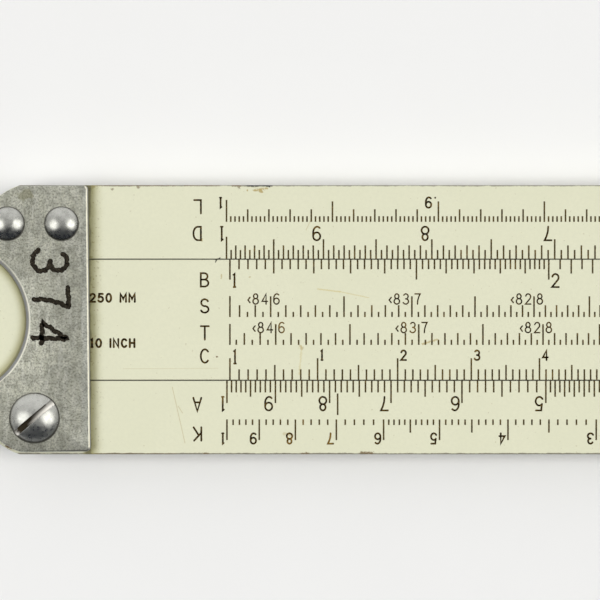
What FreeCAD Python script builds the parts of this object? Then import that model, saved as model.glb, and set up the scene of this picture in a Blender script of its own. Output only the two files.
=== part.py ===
import FreeCAD, Part
import math
import os

# Slide rule with an aluminium body, a slide and a two-window cursor. All sizes are in millimetres.
# X runs along the scales, Y across the rule and Z up through its face. The origin is under the
# middle of the scales, on the plane that the rule lies on when it rests on its back.

# --- driving dimensions -------------------------------------------------------------------------
SCALE_LENGTH = 250.0  # from the left index to the right index
INDEX_X = SCALE_LENGTH / 2
END_X = INDEX_X + 29.55
BODY_WIDTH = 31.75
PLATE = 3.2  # thickness of the two stators
SLIDE_WIDTH = 14.2
SLIDE_PLATE = 3.1
SLIDE_LENGTH = 308.3
SLIDE_REST = 0.4  # how far right of the closed position the slide lies
SLIDE_GAP = 0.1  # between each long edge of the slide and its stator

TONGUE_OUT = 1.3  # how far the slide's tongue stands out of its edge
TONGUE_THICK = 1.0
GROOVE_DEEP = 1.6
GROOVE_THICK = 1.12

BRACKET = 1.2  # thickness of an end bracket
BRACKET_WIDTH = 31.3
BRACKET_SHIFT = 0.1  # the brackets sit this far towards +Y on the body
BRACKET_INNER_X = INDEX_X + 16.17  # the straight edge that faces the scales
BRACKET_CORNER = 0.5
HORN_TIP = 0.25
NOTCH_RADIUS = 9.2
NOTCH_X = INDEX_X + 32.4
NOTCH_BEVEL = 0.4  # width of the sloping wall round the notch
NOTCH_LAND = 0.25  # height of the straight wall under that slope
EDGE_BREAK = 0.1
SLIDE_BREAK = 0.05

BRACKET_LEAN = {  # degrees that each bracket was riveted off square
    "front_left": 0.6,
    "front_right": -0.25,
    "back_left": -0.3,
    "back_right": 0.2,
}

CORNER_X = INDEX_X + 22.25  # centre of the round at each corner of the body
CORNER_Y = 8.9
CORNER_RADIUS = 7.3
BRACKET_INSET = 0.25  # the bracket's corner lies inside the body's by this much

FASTENER_X = INDEX_X + 22.6  # the screw, and the middle of the two rivets
RIVET_PITCH = 6.35
RIVET_Y = 11.33
RIVET_SHANK = 1.2
RIVET_HOLE = 1.25
RIVET_HEAD = 1.95
RIVET_DOME = 0.78
RIVET_TAIL = 1.75
RIVET_TAIL_BREAK = 0.15

SCREW_Y = -11.54
SCREW_HEAD = 2.9
SCREW_DOME = 1.25
SCREW_SLOT_WIDE = 0.75
SCREW_SLOT_DEEP = 0.75
SCREW_SLOT_ANGLES = {"left": 40.0, "right": 118.0}
SCREW_SHANK = 1.05
SCREW_HOLE = 1.15
SCREW_REACH = 4.8
POST_BARREL = 1.7
POST_SHORT = 0.05  # how far the barrel stops below the front bracket
POST_BORE = 1.1
POST_BORE_SPARE = 0.2  # how far the bore goes past the end of the screw
POST_HOLE = 1.75
POST_BREAK = 0.2
POST_SLOT_DEEP = 0.3
BACK_HEAD = 0.6  # height of the rivet tails and of the post's flange
ADJUSTING_HOLE = 2.1  # oversize hole that lets the screwed stator shift

CURSOR_REST = 45.0  # where the hairline stands
CURSOR_LENGTH = 31.0
CURSOR_WIDTH = 41.0
WINDOW_FRONT = 1.6
WINDOW_BACK = 1.45
WINDOW_CORNER = 1.2
WINDOW_BREAK = 0.3
WINDOW_CLEAR = 0.2  # from the stators to each window
SPRUNG_BAR_CLEAR = 0.1  # from the riveted stator's outer edge to its bar
PLAIN_BAR_CLEAR = 0.3  # the same for the adjustable stator, which can shift towards the bar
BAR_ROUND = 0.9
HAIRLINE_WIDE = 0.12
HAIRLINE_DEEP = 0.08
HAIRLINE_SPAN = 34.0

CURSOR_SCREW_X = 12.0  # from the hairline
CURSOR_SCREW_Y = 18.45
CURSOR_SCREW_SHANK = 0.75
CURSOR_SCREW_HOLE = 0.8
CURSOR_SCREW_HEAD = 1.2
CURSOR_SCREW_DOME = 0.6
CURSOR_SCREW_CONE = 0.6
CURSOR_SINK = 1.25
CURSOR_SCREW_BITE = 1.5  # how far a screw goes into its bar
CURSOR_SLOT_WIDE = 0.3
CURSOR_SLOT_DEEP = 0.28
CURSOR_SLOT_TURN = 67.0  # degrees from one screw's slot to the next one's

SPRING_STRIP = 0.2
SPRING_HIGH = 2.4
SPRING_CHORD = 25.0
SPRING_TOUCH = 0.05  # from the middle of the spring to the stator
SPRING_END_GAP = 0.04  # from the spring's ends to the pocket's floor
POCKET_LENGTH = 26.5
POCKET_DEEP = 0.98
POCKET_HIGH = 2.8

# --- levels and lines worked out from them --------------------------------------------------------
BACK_BRACKET_Z = BACK_HEAD
BODY_Z = BACK_BRACKET_Z + BRACKET
MID_Z = BODY_Z + PLATE / 2
FRONT_BRACKET_Z = BODY_Z + PLATE
HEAD_Z = FRONT_BRACKET_Z + BRACKET
OUTER_Y = BODY_WIDTH / 2
INNER_Y = SLIDE_WIDTH / 2 + SLIDE_GAP
SLIDE_Z = MID_Z - SLIDE_PLATE / 2
FRONT_WINDOW_Z = FRONT_BRACKET_Z + WINDOW_CLEAR
BACK_WINDOW_Z = BODY_Z - WINDOW_CLEAR - WINDOW_BACK
BAR_Z = BODY_Z - WINDOW_CLEAR
BAR_HIGH = FRONT_WINDOW_Z - BAR_Z
POCKET_FLOOR_Y = OUTER_Y + SPRUNG_BAR_CLEAR + POCKET_DEEP
SIDES = {"left": -1, "right": 1}

UP = FreeCAD.Vector(0, 0, 1)


def point(x, y, z=0.0):
    return FreeCAD.Vector(x, y, z)


def block(x0, x1, y0, y1, z0, z1):
    """A box between two corners."""
    return Part.makeBox(x1 - x0, y1 - y0, z1 - z0, point(x0, y0, z0))


def rod(x, y, z0, z1, radius):
    """A round bar along Z."""
    return Part.makeCylinder(radius, z1 - z0, point(x, y, z0))


def turned(x, y, profile):
    """A solid of revolution about a line along Z; the profile is (radius, z) points."""
    wire = Part.makePolygon([point(x + r, y, z) for r, z in profile + profile[:1]])
    return Part.Face(wire).revolve(point(x, y), UP, 360)


def dome(x, y, z, radius, high):
    """A spherical cap with its flat side down at height z."""
    ball = (radius * radius + high * high) / (2 * high)
    whole = Part.makeSphere(ball, point(x, y, z + high - ball))
    return whole.common(rod(x, y, z, z + high, radius + 1))


def slot_cutter(x, y, z0, z1, wide, angle):
    """A long box centred on a point and turned about Z: it cuts a screwdriver slot."""
    reach = 2 * SCREW_HEAD
    cutter = block(x - reach, x + reach, y - wide / 2, y + wide / 2, z0, z1)
    cutter.rotate(point(x, y), UP, angle)
    return cutter


def upright_edges(shape, high, keep):
    """The straight edges along Z of this height whose place (x, y) keep accepts."""
    found = []
    for edge in shape.Edges:
        box = edge.BoundBox
        if abs(box.ZLength - high) < 1e-6 and box.XLength + box.YLength < 1e-6:
            if keep(box.XMin, box.YMin):
                found.append(edge)
    return found


def edges_at(shape, z, keep):
    """The edges that lie flat at height z and that keep(middle of the edge) accepts."""
    found = []
    for edge in shape.Edges:
        flat = all(abs(v.Z - z) < 1e-6 for v in edge.Vertexes)
        middle = edge.valueAt((edge.FirstParameter + edge.LastParameter) / 2)
        if flat and abs(middle.z - z) < 1e-6 and keep(middle):
            found.append(edge)
    return found


def body_profile(radius, outer_y, inner_y):
    """Half of the body's outline, as a face: straight sides with a round at both outer corners.

    The round is a little too large for the width, so it meets the long side at a slight angle."""
    end = CORNER_X + radius
    rise = outer_y - CORNER_Y
    meet = CORNER_X + math.sqrt(radius * radius - rise * rise)
    middle_angle = math.asin(rise / radius) / 2
    mid_x = CORNER_X + radius * math.cos(middle_angle)
    mid_y = CORNER_Y + radius * math.sin(middle_angle)
    right = Part.Arc(point(end, CORNER_Y), point(mid_x, mid_y), point(meet, outer_y)).toShape()
    left = Part.Arc(point(-meet, outer_y), point(-mid_x, mid_y), point(-end, CORNER_Y)).toShape()
    edges = [
        Part.makeLine(point(-end, inner_y), point(end, inner_y)),
        Part.makeLine(point(end, inner_y), point(end, CORNER_Y)),
        right,
        Part.makeLine(point(meet, outer_y), point(-meet, outer_y)),
        left,
        Part.makeLine(point(-end, CORNER_Y), point(-end, inner_y)),
    ]
    return Part.Face(Part.Wire(edges))


def stator():
    """The +Y stator: a plate with a long groove for the slide's tongue."""
    face = body_profile(CORNER_RADIUS, OUTER_Y, INNER_Y)
    plate = face.extrude(UP * PLATE)
    plate.translate(point(0, 0, BODY_Z))
    for z in (BODY_Z, BODY_Z + PLATE):
        plate = plate.makeChamfer(EDGE_BREAK, edges_at(plate, z, lambda m: m.y > CORNER_Y))
    groove = block(
        -END_X - 1,
        END_X + 1,
        INNER_Y - 1,
        INNER_Y + GROOVE_DEEP,
        MID_Z - GROOVE_THICK / 2,
        MID_Z + GROOVE_THICK / 2,
    )
    return plate.cut(groove)


def drilled(shape, places, radius):
    """The shape with a through hole of this radius at each (x, y)."""
    for x, y in places:
        shape = shape.cut(rod(x, y, -1, HEAD_Z + 1, radius))
    return shape


def rivet_places(side):
    """(name, x, y) of the two rivets of one end, the outer one first."""
    middle = side * FASTENER_X
    half = side * RIVET_PITCH / 2
    return [("outer", middle + half, RIVET_Y), ("inner", middle - half, RIVET_Y)]


def slide():
    """The slide: a plate with a tongue along each edge, lying a little to the right."""
    x0 = SLIDE_REST - SLIDE_LENGTH / 2
    x1 = SLIDE_REST + SLIDE_LENGTH / 2
    half = SLIDE_WIDTH / 2
    plate = block(x0, x1, -half, half, SLIDE_Z, SLIDE_Z + SLIDE_PLATE)
    long_edges = []
    for z in (SLIDE_Z, SLIDE_Z + SLIDE_PLATE):
        long_edges += edges_at(plate, z, lambda m: abs(m.y) > half - 0.01)
    plate = plate.makeChamfer(SLIDE_BREAK, long_edges)
    reach = half + TONGUE_OUT
    tongue = block(x0, x1, -reach, reach, MID_Z - TONGUE_THICK / 2, MID_Z + TONGUE_THICK / 2)
    return plate.fuse(tongue).removeSplitter()


def bracket_blank():
    """The outline of a right-hand bracket, cut from a strip with rounded outer corners."""
    radius = CORNER_RADIUS - BRACKET_INSET
    half = body_profile(radius, BRACKET_WIDTH / 2, 0.0).extrude(UP * BRACKET)
    strip = half.fuse(half.mirror(point(0, 0), point(0, 1))).removeSplitter()
    strip.translate(point(0, BRACKET_SHIFT))
    keep = block(BRACKET_INNER_X, END_X + 1, -BODY_WIDTH, BODY_WIDTH, -1, BRACKET + 1)
    return strip.common(keep)


def bracket(side, front, lean):
    """An end bracket: a C-shaped plate with a bevelled thumb notch, its show face outwards."""
    notch = NOTCH_RADIUS - NOTCH_BEVEL
    plate = bracket_blank().cut(rod(NOTCH_X, 0, -1, BRACKET + 1, notch))
    inner = upright_edges(plate, BRACKET, lambda x, y: x < BRACKET_INNER_X + 0.01)
    plate = plate.makeFillet(BRACKET_CORNER, inner)
    tips = upright_edges(plate, BRACKET, lambda x, y: abs(math.hypot(x - NOTCH_X, y) - notch) < 1e-4)
    plate = plate.makeFillet(HORN_TIP, tips)
    rim = edges_at(plate, BRACKET, lambda m: math.hypot(m.x - NOTCH_X, m.y) > notch + 0.01)
    plate = plate.makeChamfer(EDGE_BREAK, rim)
    slope = Part.makeCone(notch, NOTCH_RADIUS, BRACKET - NOTCH_LAND, point(NOTCH_X, 0, NOTCH_LAND))
    plate = plate.cut(slope)
    if not front:
        plate = plate.mirror(point(0, 0, BRACKET / 2), UP)
    if side < 0:
        plate = plate.mirror(point(0, 0), point(1, 0))
    plate.rotate(point(side * FASTENER_X, 0), UP, lean)
    plate.translate(point(0, 0, FRONT_BRACKET_Z if front else BACK_BRACKET_Z))
    plate = drilled(plate, [(x, y) for _, x, y in rivet_places(side)], RIVET_HOLE)
    return drilled(plate, [(side * FASTENER_X, SCREW_Y)], SCREW_HOLE if front else POST_HOLE)


def rivet(x, y):
    """A solid rivet: domed head in front, flattened tail behind."""
    shank = rod(x, y, BACK_HEAD, HEAD_Z, RIVET_SHANK)
    head = dome(x, y, HEAD_Z, RIVET_HEAD, RIVET_DOME)
    tail = turned(
        x,
        y,
        [
            (0, 0),
            (RIVET_TAIL - RIVET_TAIL_BREAK, 0),
            (RIVET_TAIL, RIVET_TAIL_BREAK),
            (RIVET_TAIL, BACK_HEAD),
            (0, BACK_HEAD),
        ],
    )
    return shank.fuse([head, tail]).removeSplitter()


def tension_screw(x, y, angle):
    """The slotted round-head screw that clamps the adjustable stator between its brackets."""
    head = dome(x, y, HEAD_Z, SCREW_HEAD, SCREW_DOME)
    top = HEAD_Z + SCREW_DOME
    head = head.cut(slot_cutter(x, y, top - SCREW_SLOT_DEEP, top + 1, SCREW_SLOT_WIDE, angle))
    shank = rod(x, y, HEAD_Z - SCREW_REACH, HEAD_Z, SCREW_SHANK)
    return head.fuse(shank).removeSplitter()


def screw_post(x, y):
    """The flanged barrel nut behind, which the tension screw goes into."""
    flange = turned(
        x,
        y,
        [
            (0, 0),
            (SCREW_HEAD - POST_BREAK, 0),
            (SCREW_HEAD, POST_BREAK),
            (SCREW_HEAD, BACK_HEAD),
            (0, BACK_HEAD),
        ],
    )
    flange = flange.cut(slot_cutter(x, y, -1, POST_SLOT_DEEP, SCREW_SLOT_WIDE, 0))
    barrel = rod(x, y, BACK_HEAD, FRONT_BRACKET_Z - POST_SHORT, POST_BARREL)
    bore = rod(x, y, HEAD_Z - SCREW_REACH - POST_BORE_SPARE, FRONT_BRACKET_Z, POST_BORE)
    return flange.fuse(barrel).removeSplitter().cut(bore)


def cursor_screw_places():
    """(x, y) of the four screws of one window, clockwise from the upper left."""
    x0, x1 = CURSOR_REST - CURSOR_SCREW_X, CURSOR_REST + CURSOR_SCREW_X
    return [
        (x0, CURSOR_SCREW_Y),
        (x1, CURSOR_SCREW_Y),
        (x1, -CURSOR_SCREW_Y),
        (x0, -CURSOR_SCREW_Y),
    ]


def window_plate(z, thick):
    """A clear plate with rounded corners and four screw holes."""
    x0, x1 = CURSOR_REST - CURSOR_LENGTH / 2, CURSOR_REST + CURSOR_LENGTH / 2
    plate = block(x0, x1, -CURSOR_WIDTH / 2, CURSOR_WIDTH / 2, z, z + thick)
    plate = plate.makeFillet(WINDOW_CORNER, upright_edges(plate, thick, lambda x, y: True))
    return drilled(plate, cursor_screw_places(), CURSOR_SCREW_HOLE)


def front_window():
    """The front window, with the hairline scored in its inner face."""
    plate = window_plate(FRONT_WINDOW_Z, WINDOW_FRONT)
    rim = edges_at(
        plate,
        FRONT_WINDOW_Z + WINDOW_FRONT,
        lambda m: abs(m.y) > CURSOR_WIDTH / 2 - WINDOW_CORNER
        or abs(m.x - CURSOR_REST) > CURSOR_LENGTH / 2 - WINDOW_CORNER,
    )
    plate = plate.makeChamfer(WINDOW_BREAK, rim)
    score = block(
        CURSOR_REST - HAIRLINE_WIDE / 2,
        CURSOR_REST + HAIRLINE_WIDE / 2,
        -HAIRLINE_SPAN / 2,
        HAIRLINE_SPAN / 2,
        FRONT_WINDOW_Z - 1,
        FRONT_WINDOW_Z + HAIRLINE_DEEP,
    )
    return plate.cut(score)


def back_window():
    """The plain back window, countersunk for flush screws."""
    plate = window_plate(BACK_WINDOW_Z, WINDOW_BACK)
    for x, y in cursor_screw_places():
        sink = Part.makeCone(
            CURSOR_SINK,
            CURSOR_SCREW_HOLE,
            CURSOR_SCREW_CONE,
            point(x, y, BACK_WINDOW_Z),
        )
        plate = plate.cut(sink)
    return plate


def cursor_bar(clear):
    """The +Y edge bar that spaces the windows, this far clear of the body."""
    x0, x1 = CURSOR_REST - CURSOR_LENGTH / 2, CURSOR_REST + CURSOR_LENGTH / 2
    bar = block(x0, x1, OUTER_Y + clear, CURSOR_WIDTH / 2, BAR_Z, BAR_Z + BAR_HIGH)
    outer = upright_edges(bar, BAR_HIGH, lambda x, y: y > CURSOR_SCREW_Y)
    return drilled(bar.makeFillet(BAR_ROUND, outer), cursor_screw_places()[:2], CURSOR_SCREW_HOLE)


def spring_pocket():
    """The hollow in the inner face of the sprung bar."""
    return block(
        CURSOR_REST - POCKET_LENGTH / 2,
        CURSOR_REST + POCKET_LENGTH / 2,
        OUTER_Y,
        POCKET_FLOOR_Y,
        MID_Z - POCKET_HIGH / 2,
        MID_Z + POCKET_HIGH / 2,
    )


def bow(y_ends, y_middle):
    """An arc over the spring's chord, in the XY plane, through these three points."""
    return Part.Arc(
        point(CURSOR_REST - SPRING_CHORD / 2, y_ends),
        point(CURSOR_REST, y_middle),
        point(CURSOR_REST + SPRING_CHORD / 2, y_ends),
    ).toShape()


def cursor_spring():
    """The bowed leaf spring between the sprung bar and the stator's edge."""
    ends = POCKET_FLOOR_Y - SPRING_END_GAP
    middle = OUTER_Y + SPRING_TOUCH
    outer = bow(ends, middle + SPRING_STRIP)
    inner = bow(ends - SPRING_STRIP, middle)
    caps = []
    for side in SIDES.values():
        x = CURSOR_REST + side * SPRING_CHORD / 2
        caps.append(Part.makeLine(point(x, ends), point(x, ends - SPRING_STRIP)))
    loop = Part.Wire(Part.__sortEdges__([outer, inner] + caps))
    strip = Part.Face(loop).extrude(UP * SPRING_HIGH)
    strip.translate(point(0, 0, MID_Z - SPRING_HIGH / 2))
    return strip


def front_cursor_screw(x, y, angle):
    """A small round-head screw that holds the front window to its bar."""
    seat = FRONT_WINDOW_Z + WINDOW_FRONT
    head = dome(x, y, seat, CURSOR_SCREW_HEAD, CURSOR_SCREW_DOME)
    top = seat + CURSOR_SCREW_DOME
    slot = slot_cutter(x, y, top - CURSOR_SLOT_DEEP, top + 1, CURSOR_SLOT_WIDE, angle)
    shank = rod(x, y, FRONT_WINDOW_Z - CURSOR_SCREW_BITE, seat, CURSOR_SCREW_SHANK)
    return head.cut(slot).fuse(shank).removeSplitter()


def back_cursor_screw(x, y, angle):
    """A small flat-head screw, flush in the back window."""
    seat = BACK_WINDOW_Z
    head = turned(
        x,
        y,
        [
            (0, seat),
            (CURSOR_SCREW_HEAD, seat),
            (CURSOR_SCREW_SHANK, seat + CURSOR_SCREW_CONE),
            (0, seat + CURSOR_SCREW_CONE),
        ],
    )
    slot = slot_cutter(x, y, seat - 1, seat + CURSOR_SLOT_DEEP, CURSOR_SLOT_WIDE, angle)
    shank_top = BAR_Z + CURSOR_SCREW_BITE
    shank = rod(x, y, seat + CURSOR_SCREW_CONE, shank_top, CURSOR_SCREW_SHANK)
    return head.cut(slot).fuse(shank).removeSplitter()


def all_parts():
    """Every piece of the rule, by name."""
    parts = {}
    riveted = stator()
    screwed = riveted.mirror(point(0, 0), point(0, 1))
    rivets = [place for side in SIDES.values() for place in rivet_places(side)]
    screw_holes = [(side * FASTENER_X, SCREW_Y) for side in SIDES.values()]
    parts["riveted_stator"] = drilled(riveted, [(x, y) for _, x, y in rivets], RIVET_HOLE)
    parts["adjustable_stator"] = drilled(screwed, screw_holes, ADJUSTING_HOLE)
    parts["slide"] = slide()
    for word, side in SIDES.items():
        parts[f"front_bracket_{word}"] = bracket(side, True, BRACKET_LEAN[f"front_{word}"])
        parts[f"back_bracket_{word}"] = bracket(side, False, BRACKET_LEAN[f"back_{word}"])
        for place, x, y in rivet_places(side):
            parts[f"rivet_{word}_{place}"] = rivet(x, y)
        screw_x = side * FASTENER_X
        parts[f"tension_screw_{word}"] = tension_screw(screw_x, SCREW_Y, SCREW_SLOT_ANGLES[word])
        parts[f"screw_post_{word}"] = screw_post(screw_x, SCREW_Y)
    parts["cursor_bar_sprung"] = cursor_bar(SPRUNG_BAR_CLEAR).cut(spring_pocket())
    parts["cursor_bar_plain"] = cursor_bar(PLAIN_BAR_CLEAR).mirror(point(0, 0), point(0, 1))
    parts["cursor_spring"] = cursor_spring()
    parts["cursor_window_front"] = front_window()
    parts["cursor_window_back"] = back_window()
    for number, (x, y) in enumerate(cursor_screw_places(), 1):
        turn = number * CURSOR_SLOT_TURN
        parts[f"cursor_screw_front_{number}"] = front_cursor_screw(x, y, turn)
        parts[f"cursor_screw_back_{number}"] = back_cursor_screw(x, y, -turn)
    return parts


os.makedirs("parts", exist_ok=True)
for name, shape in all_parts().items():
    print(f"{name:24} {shape.Volume:10.2f} mm3  valid {shape.isValid()}  solids {len(shape.Solids)}")
    shape.exportStep(f"parts/{name}.step")
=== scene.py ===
import math
import bmesh
import bpy
import numpy as np
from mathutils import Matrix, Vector


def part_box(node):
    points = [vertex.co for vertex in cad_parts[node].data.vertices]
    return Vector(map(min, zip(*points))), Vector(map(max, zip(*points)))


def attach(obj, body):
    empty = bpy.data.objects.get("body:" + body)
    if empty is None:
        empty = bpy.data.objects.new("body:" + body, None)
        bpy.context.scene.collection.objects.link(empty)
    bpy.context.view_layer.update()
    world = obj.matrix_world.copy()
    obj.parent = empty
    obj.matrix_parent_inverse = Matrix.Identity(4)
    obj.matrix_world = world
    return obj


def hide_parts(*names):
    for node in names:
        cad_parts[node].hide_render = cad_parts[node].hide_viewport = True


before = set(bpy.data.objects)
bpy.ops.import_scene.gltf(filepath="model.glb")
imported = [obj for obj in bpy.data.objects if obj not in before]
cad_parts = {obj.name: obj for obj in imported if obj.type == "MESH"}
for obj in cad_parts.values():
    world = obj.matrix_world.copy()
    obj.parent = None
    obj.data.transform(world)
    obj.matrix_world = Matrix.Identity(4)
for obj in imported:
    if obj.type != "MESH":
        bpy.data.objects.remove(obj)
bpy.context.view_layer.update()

MM = 0.001


# ------------------------------------------------------------------------------------------------
# Stators. Two long aluminium bars with a groove for the slide, corners cut round, sprayed with
# pale yellow-green baking enamel. The upper one is riveted between the brackets, the lower one
# is held by screws in oversize holes so that it can be shifted to set the slide's drag.
# ------------------------------------------------------------------------------------------------
stator_low, stator_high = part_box("riveted_stator")
slide_low, slide_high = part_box("slide")
FACE_Z = stator_high.z
END_ROUND = 7.3 * MM
END_ROUND_X = stator_high.x - END_ROUND
END_ROUND_Y = 8.9 * MM
STATOR_BREAK = 0.1 * MM
GROOVE_DEEP = 1.6 * MM
GROOVE_HALF = 0.56 * MM
SHEER = 0.001 * MM  # how far a level wall of a groove or pocket is from level, as it goes in
BRACKET_INNER_X = 141.17 * MM
NOTCH_X = 157.4 * MM
RIVET_Y = 11.33 * MM
RIVET_HOLE = 1.25 * MM
ADJUSTING_HOLE = 2.1 * MM
ENAMEL = (0.742, 0.742, 0.562, 1)


def new_material(name, settings=()):
    """A material: its node tree, its Principled shader with these sockets set, and the object's own
    coordinates."""
    material = bpy.data.materials.new(name)
    material.use_nodes = True
    tree = material.node_tree
    shader = tree.nodes["Principled BSDF"]
    for key, value in dict(settings).items():
        shader.inputs[key].default_value = value
    place = tree.nodes.new("ShaderNodeTexCoord").outputs["Object"]
    return material, tree, shader, place


def node(tree, kind, inputs=(), **settings):
    """A node with these settings; inputs are (socket, value or output) pairs."""
    made = tree.nodes.new(kind)
    for key, value in settings.items():
        setattr(made, key, value)
    for key, value in inputs:
        if isinstance(value, bpy.types.NodeSocket):
            tree.links.new(value, made.inputs[key])
        else:
            made.inputs[key].default_value = value
    return made


def maths(tree, operation, a, b=0.0, clamp=False):
    """The output of one Math node."""
    made = node(tree, "ShaderNodeMath", [(0, a), (1, b)], operation=operation, use_clamp=clamp)
    return made.outputs[0]


def times(tree, a, b):
    """a multiplied by b."""
    return maths(tree, "MULTIPLY", a, b)


def vector_maths(tree, operation, a, b):
    """One Vector Math node."""
    return node(tree, "ShaderNodeVectorMath", [(0, a), (1, b)], operation=operation)


def spread(tree, value, low, high, out_low=0.0, out_high=1.0):
    """A value carried smoothly from low..high to out_low..out_high and held beyond both ends."""
    pairs = [("Value", value), ("From Min", low), ("From Max", high)]
    pairs += [("To Min", out_low), ("To Max", out_high)]
    made = node(tree, "ShaderNodeMapRange", pairs, interpolation_type="SMOOTHSTEP")
    return made.outputs["Result"]


def band(tree, value, start, full, last_full, stop, most=1.0):
    """1 where a value lies from full to last_full, fading to 0 at start and stop."""
    return times(tree, spread(tree, value, start, full), spread(tree, value, stop, last_full, 0.0, most))


def blend_colour(tree, amount, under, over):
    """The colour under, with over laid on it by amount."""
    pairs = [(0, amount), (6, under), (7, over)]
    return node(tree, "ShaderNodeMix", pairs, data_type="RGBA", clamp_factor=True).outputs[2]


def stain(tree, colour, amount, strength, tone):
    """The colour, with a tone laid on it by amount times strength."""
    return blend_colour(tree, times(tree, amount, strength), colour, tone)


def grain(tree, place, scale, detail=2.0, rough=0.5, stretch=(1, 1, 1), shift=(0, 0, 0)):
    """Noise between 0 and 1 over the object's coordinates, in blobs of 1/scale metres."""
    mapping = node(tree, "ShaderNodeMapping", [("Vector", place), ("Scale", stretch), ("Location", shift)])
    pairs = [("Vector", mapping.outputs[0]), ("Scale", scale), ("Detail", detail), ("Roughness", rough)]
    return node(tree, "ShaderNodeTexNoise", pairs).outputs["Fac"]


def patches(tree, place, scale, low, high, out_low=0.0, out_high=1.0, **how):
    """Noise with its values from low to high spread to 0..1: soft patches and gaps."""
    return spread(tree, grain(tree, place, scale, **how), low, high, out_low, out_high)


def bump(tree, shader, height, depth):
    """Bumps the shader's normal by a height field of 0..1 that stands depth metres high."""
    made = node(tree, "ShaderNodeBump", [("Height", height), ("Distance", depth), ("Strength", 1.0)])
    tree.links.new(made.outputs[0], shader.inputs["Normal"])


def tint(tree, shader, colour):
    """Gives the shader this colour."""
    tree.links.new(colour, shader.inputs["Base Color"])


def arc(x, y, radius, start, stop, steps):
    """Points on a circle from one angle to another, in degrees."""
    turn = np.radians(np.linspace(start, stop, steps))
    return np.stack([x + radius * np.cos(turn), y + radius * np.sin(turn)], axis=1)


def outward(outline):
    """The outward normal at each point of a loop that runs anticlockwise: the mean of the normals of
    its two sides, lengthened so that both sides move by the same distance."""
    side = np.roll(outline, -1, axis=0) - outline
    side /= np.linalg.norm(side, axis=1, keepdims=True)
    normal = np.stack([side[:, 1], -side[:, 0]], axis=1)
    both = normal + np.roll(normal, 1, axis=0)
    both /= np.linalg.norm(both, axis=1, keepdims=True)
    return both / np.maximum(0.3, (both * normal).sum(axis=1, keepdims=True))


def add_piece(name, mesh, material, sharp=30.0):
    """An object at the origin that shows this mesh, smooth except across sharp edges."""
    mesh.materials.append(material)
    mesh.shade_smooth()
    mesh.set_sharp_from_angle(angle=math.radians(sharp))
    piece = bpy.data.objects.new(name, mesh)
    bpy.context.scene.collection.objects.link(piece)
    return piece


def closed(mesh):
    """Merges points that coincide, as at a pole, and turns every face outwards."""
    work = bmesh.new()
    work.from_mesh(mesh)
    bmesh.ops.remove_doubles(work, verts=work.verts, dist=1e-7)
    bmesh.ops.recalc_face_normals(work, faces=work.faces)
    work.to_mesh(mesh)
    work.free()
    return mesh


HOLE_STEPS = 64


def solid_from_rings(name, rings, holes=()):
    """A closed solid from an array of rings (ring, point, xyz), anticlockwise, from the bottom up.

    Quads join each ring to the next. The first and last rings are filled flat between their outline
    and the holes, unless they are a single point. A hole is (x, y, radius) or, if it is countersunk
    from below, (x, y, (sink radius, sink depth, radius))."""
    count = rings.shape[1]
    points = rings.reshape(-1, 3)
    k, i = np.meshgrid(np.arange(len(rings) - 1), np.arange(count), indexing="ij")
    here, there = k * count + i, k * count + (i + 1) % count
    faces = np.stack([here, there, there + count, here + count], axis=-1).reshape(-1, 4)
    low, high = rings[0, 0, 2], rings[-1, 0, 2]
    ends = []
    for ring, first in ((rings[0], 0), (rings[-1], (len(rings) - 1) * count)):
        if np.ptp(ring[:, 0]) > 1e-6:
            ends.append([first + np.arange(count)])
    for x, y, bore in holes:
        sink, deep, radius = bore if isinstance(bore, tuple) else (bore, (high - low) / 2, bore)
        levels = ((sink, low), (radius, low + deep), (radius, high))
        rows = [len(points) + np.arange(HOLE_STEPS) + HOLE_STEPS * row for row in range(3)]
        for width, level in levels:
            circle = arc(x, y, width, 0, 360, HOLE_STEPS + 1)[:-1]
            points = np.concatenate([points, np.column_stack([circle, np.full(HOLE_STEPS, level)])])
        for lower, upper in zip(rows, rows[1:]):
            wall = np.stack([np.roll(lower, -1), lower, upper, np.roll(upper, -1)], axis=-1)
            faces = np.concatenate([faces, wall])
        ends[0].append(rows[0])
        ends[1].append(rows[2])
    mesh = bpy.data.meshes.new(name)
    mesh.from_pydata(points.tolist(), [], faces.tolist())
    work = bmesh.new()
    work.from_mesh(mesh)
    work.verts.ensure_lookup_table()
    for end in ends:
        rim = set()
        for loop in end:
            for a, b in zip(loop, np.roll(loop, -1)):
                rim.add(work.edges.get((work.verts[a], work.verts[b])))
        bmesh.ops.triangle_fill(work, use_beauty=True, use_dissolve=False, edges=list(rim))
    work.to_mesh(mesh)
    work.free()
    return closed(mesh)


def plate_mesh(name, outline, inset, height, holes=()):
    """A flat plate whose edge has a profile: ring k is the outline moved in by inset[k] along its
    normals, at height[k]. Both hold one number, or one number per outline point, for each ring."""
    count = len(outline)
    inset = np.array([np.broadcast_to(row, count) for row in inset])
    height = np.array([np.broadcast_to(row, count) for row in height])
    ring = outline[None] - outward(outline)[None] * inset[:, :, None]
    return solid_from_rings(name, np.concatenate([ring, height[:, :, None]], axis=2), holes)


def stator_outline(low, high):
    """The outline of the upper stator, anticlockwise, and a mask of the points on its grooved edge."""
    rise = math.degrees(math.asin((high.y - END_ROUND_Y) / END_ROUND))
    right = arc(END_ROUND_X, END_ROUND_Y, END_ROUND, 0, rise, 40)
    left = right[::-1] * (-1, 1)
    inner = np.array([(low.x, low.y), (high.x, low.y)])
    outline = np.concatenate([inner, right, left])
    return outline, np.arange(len(outline)) < 2


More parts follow.
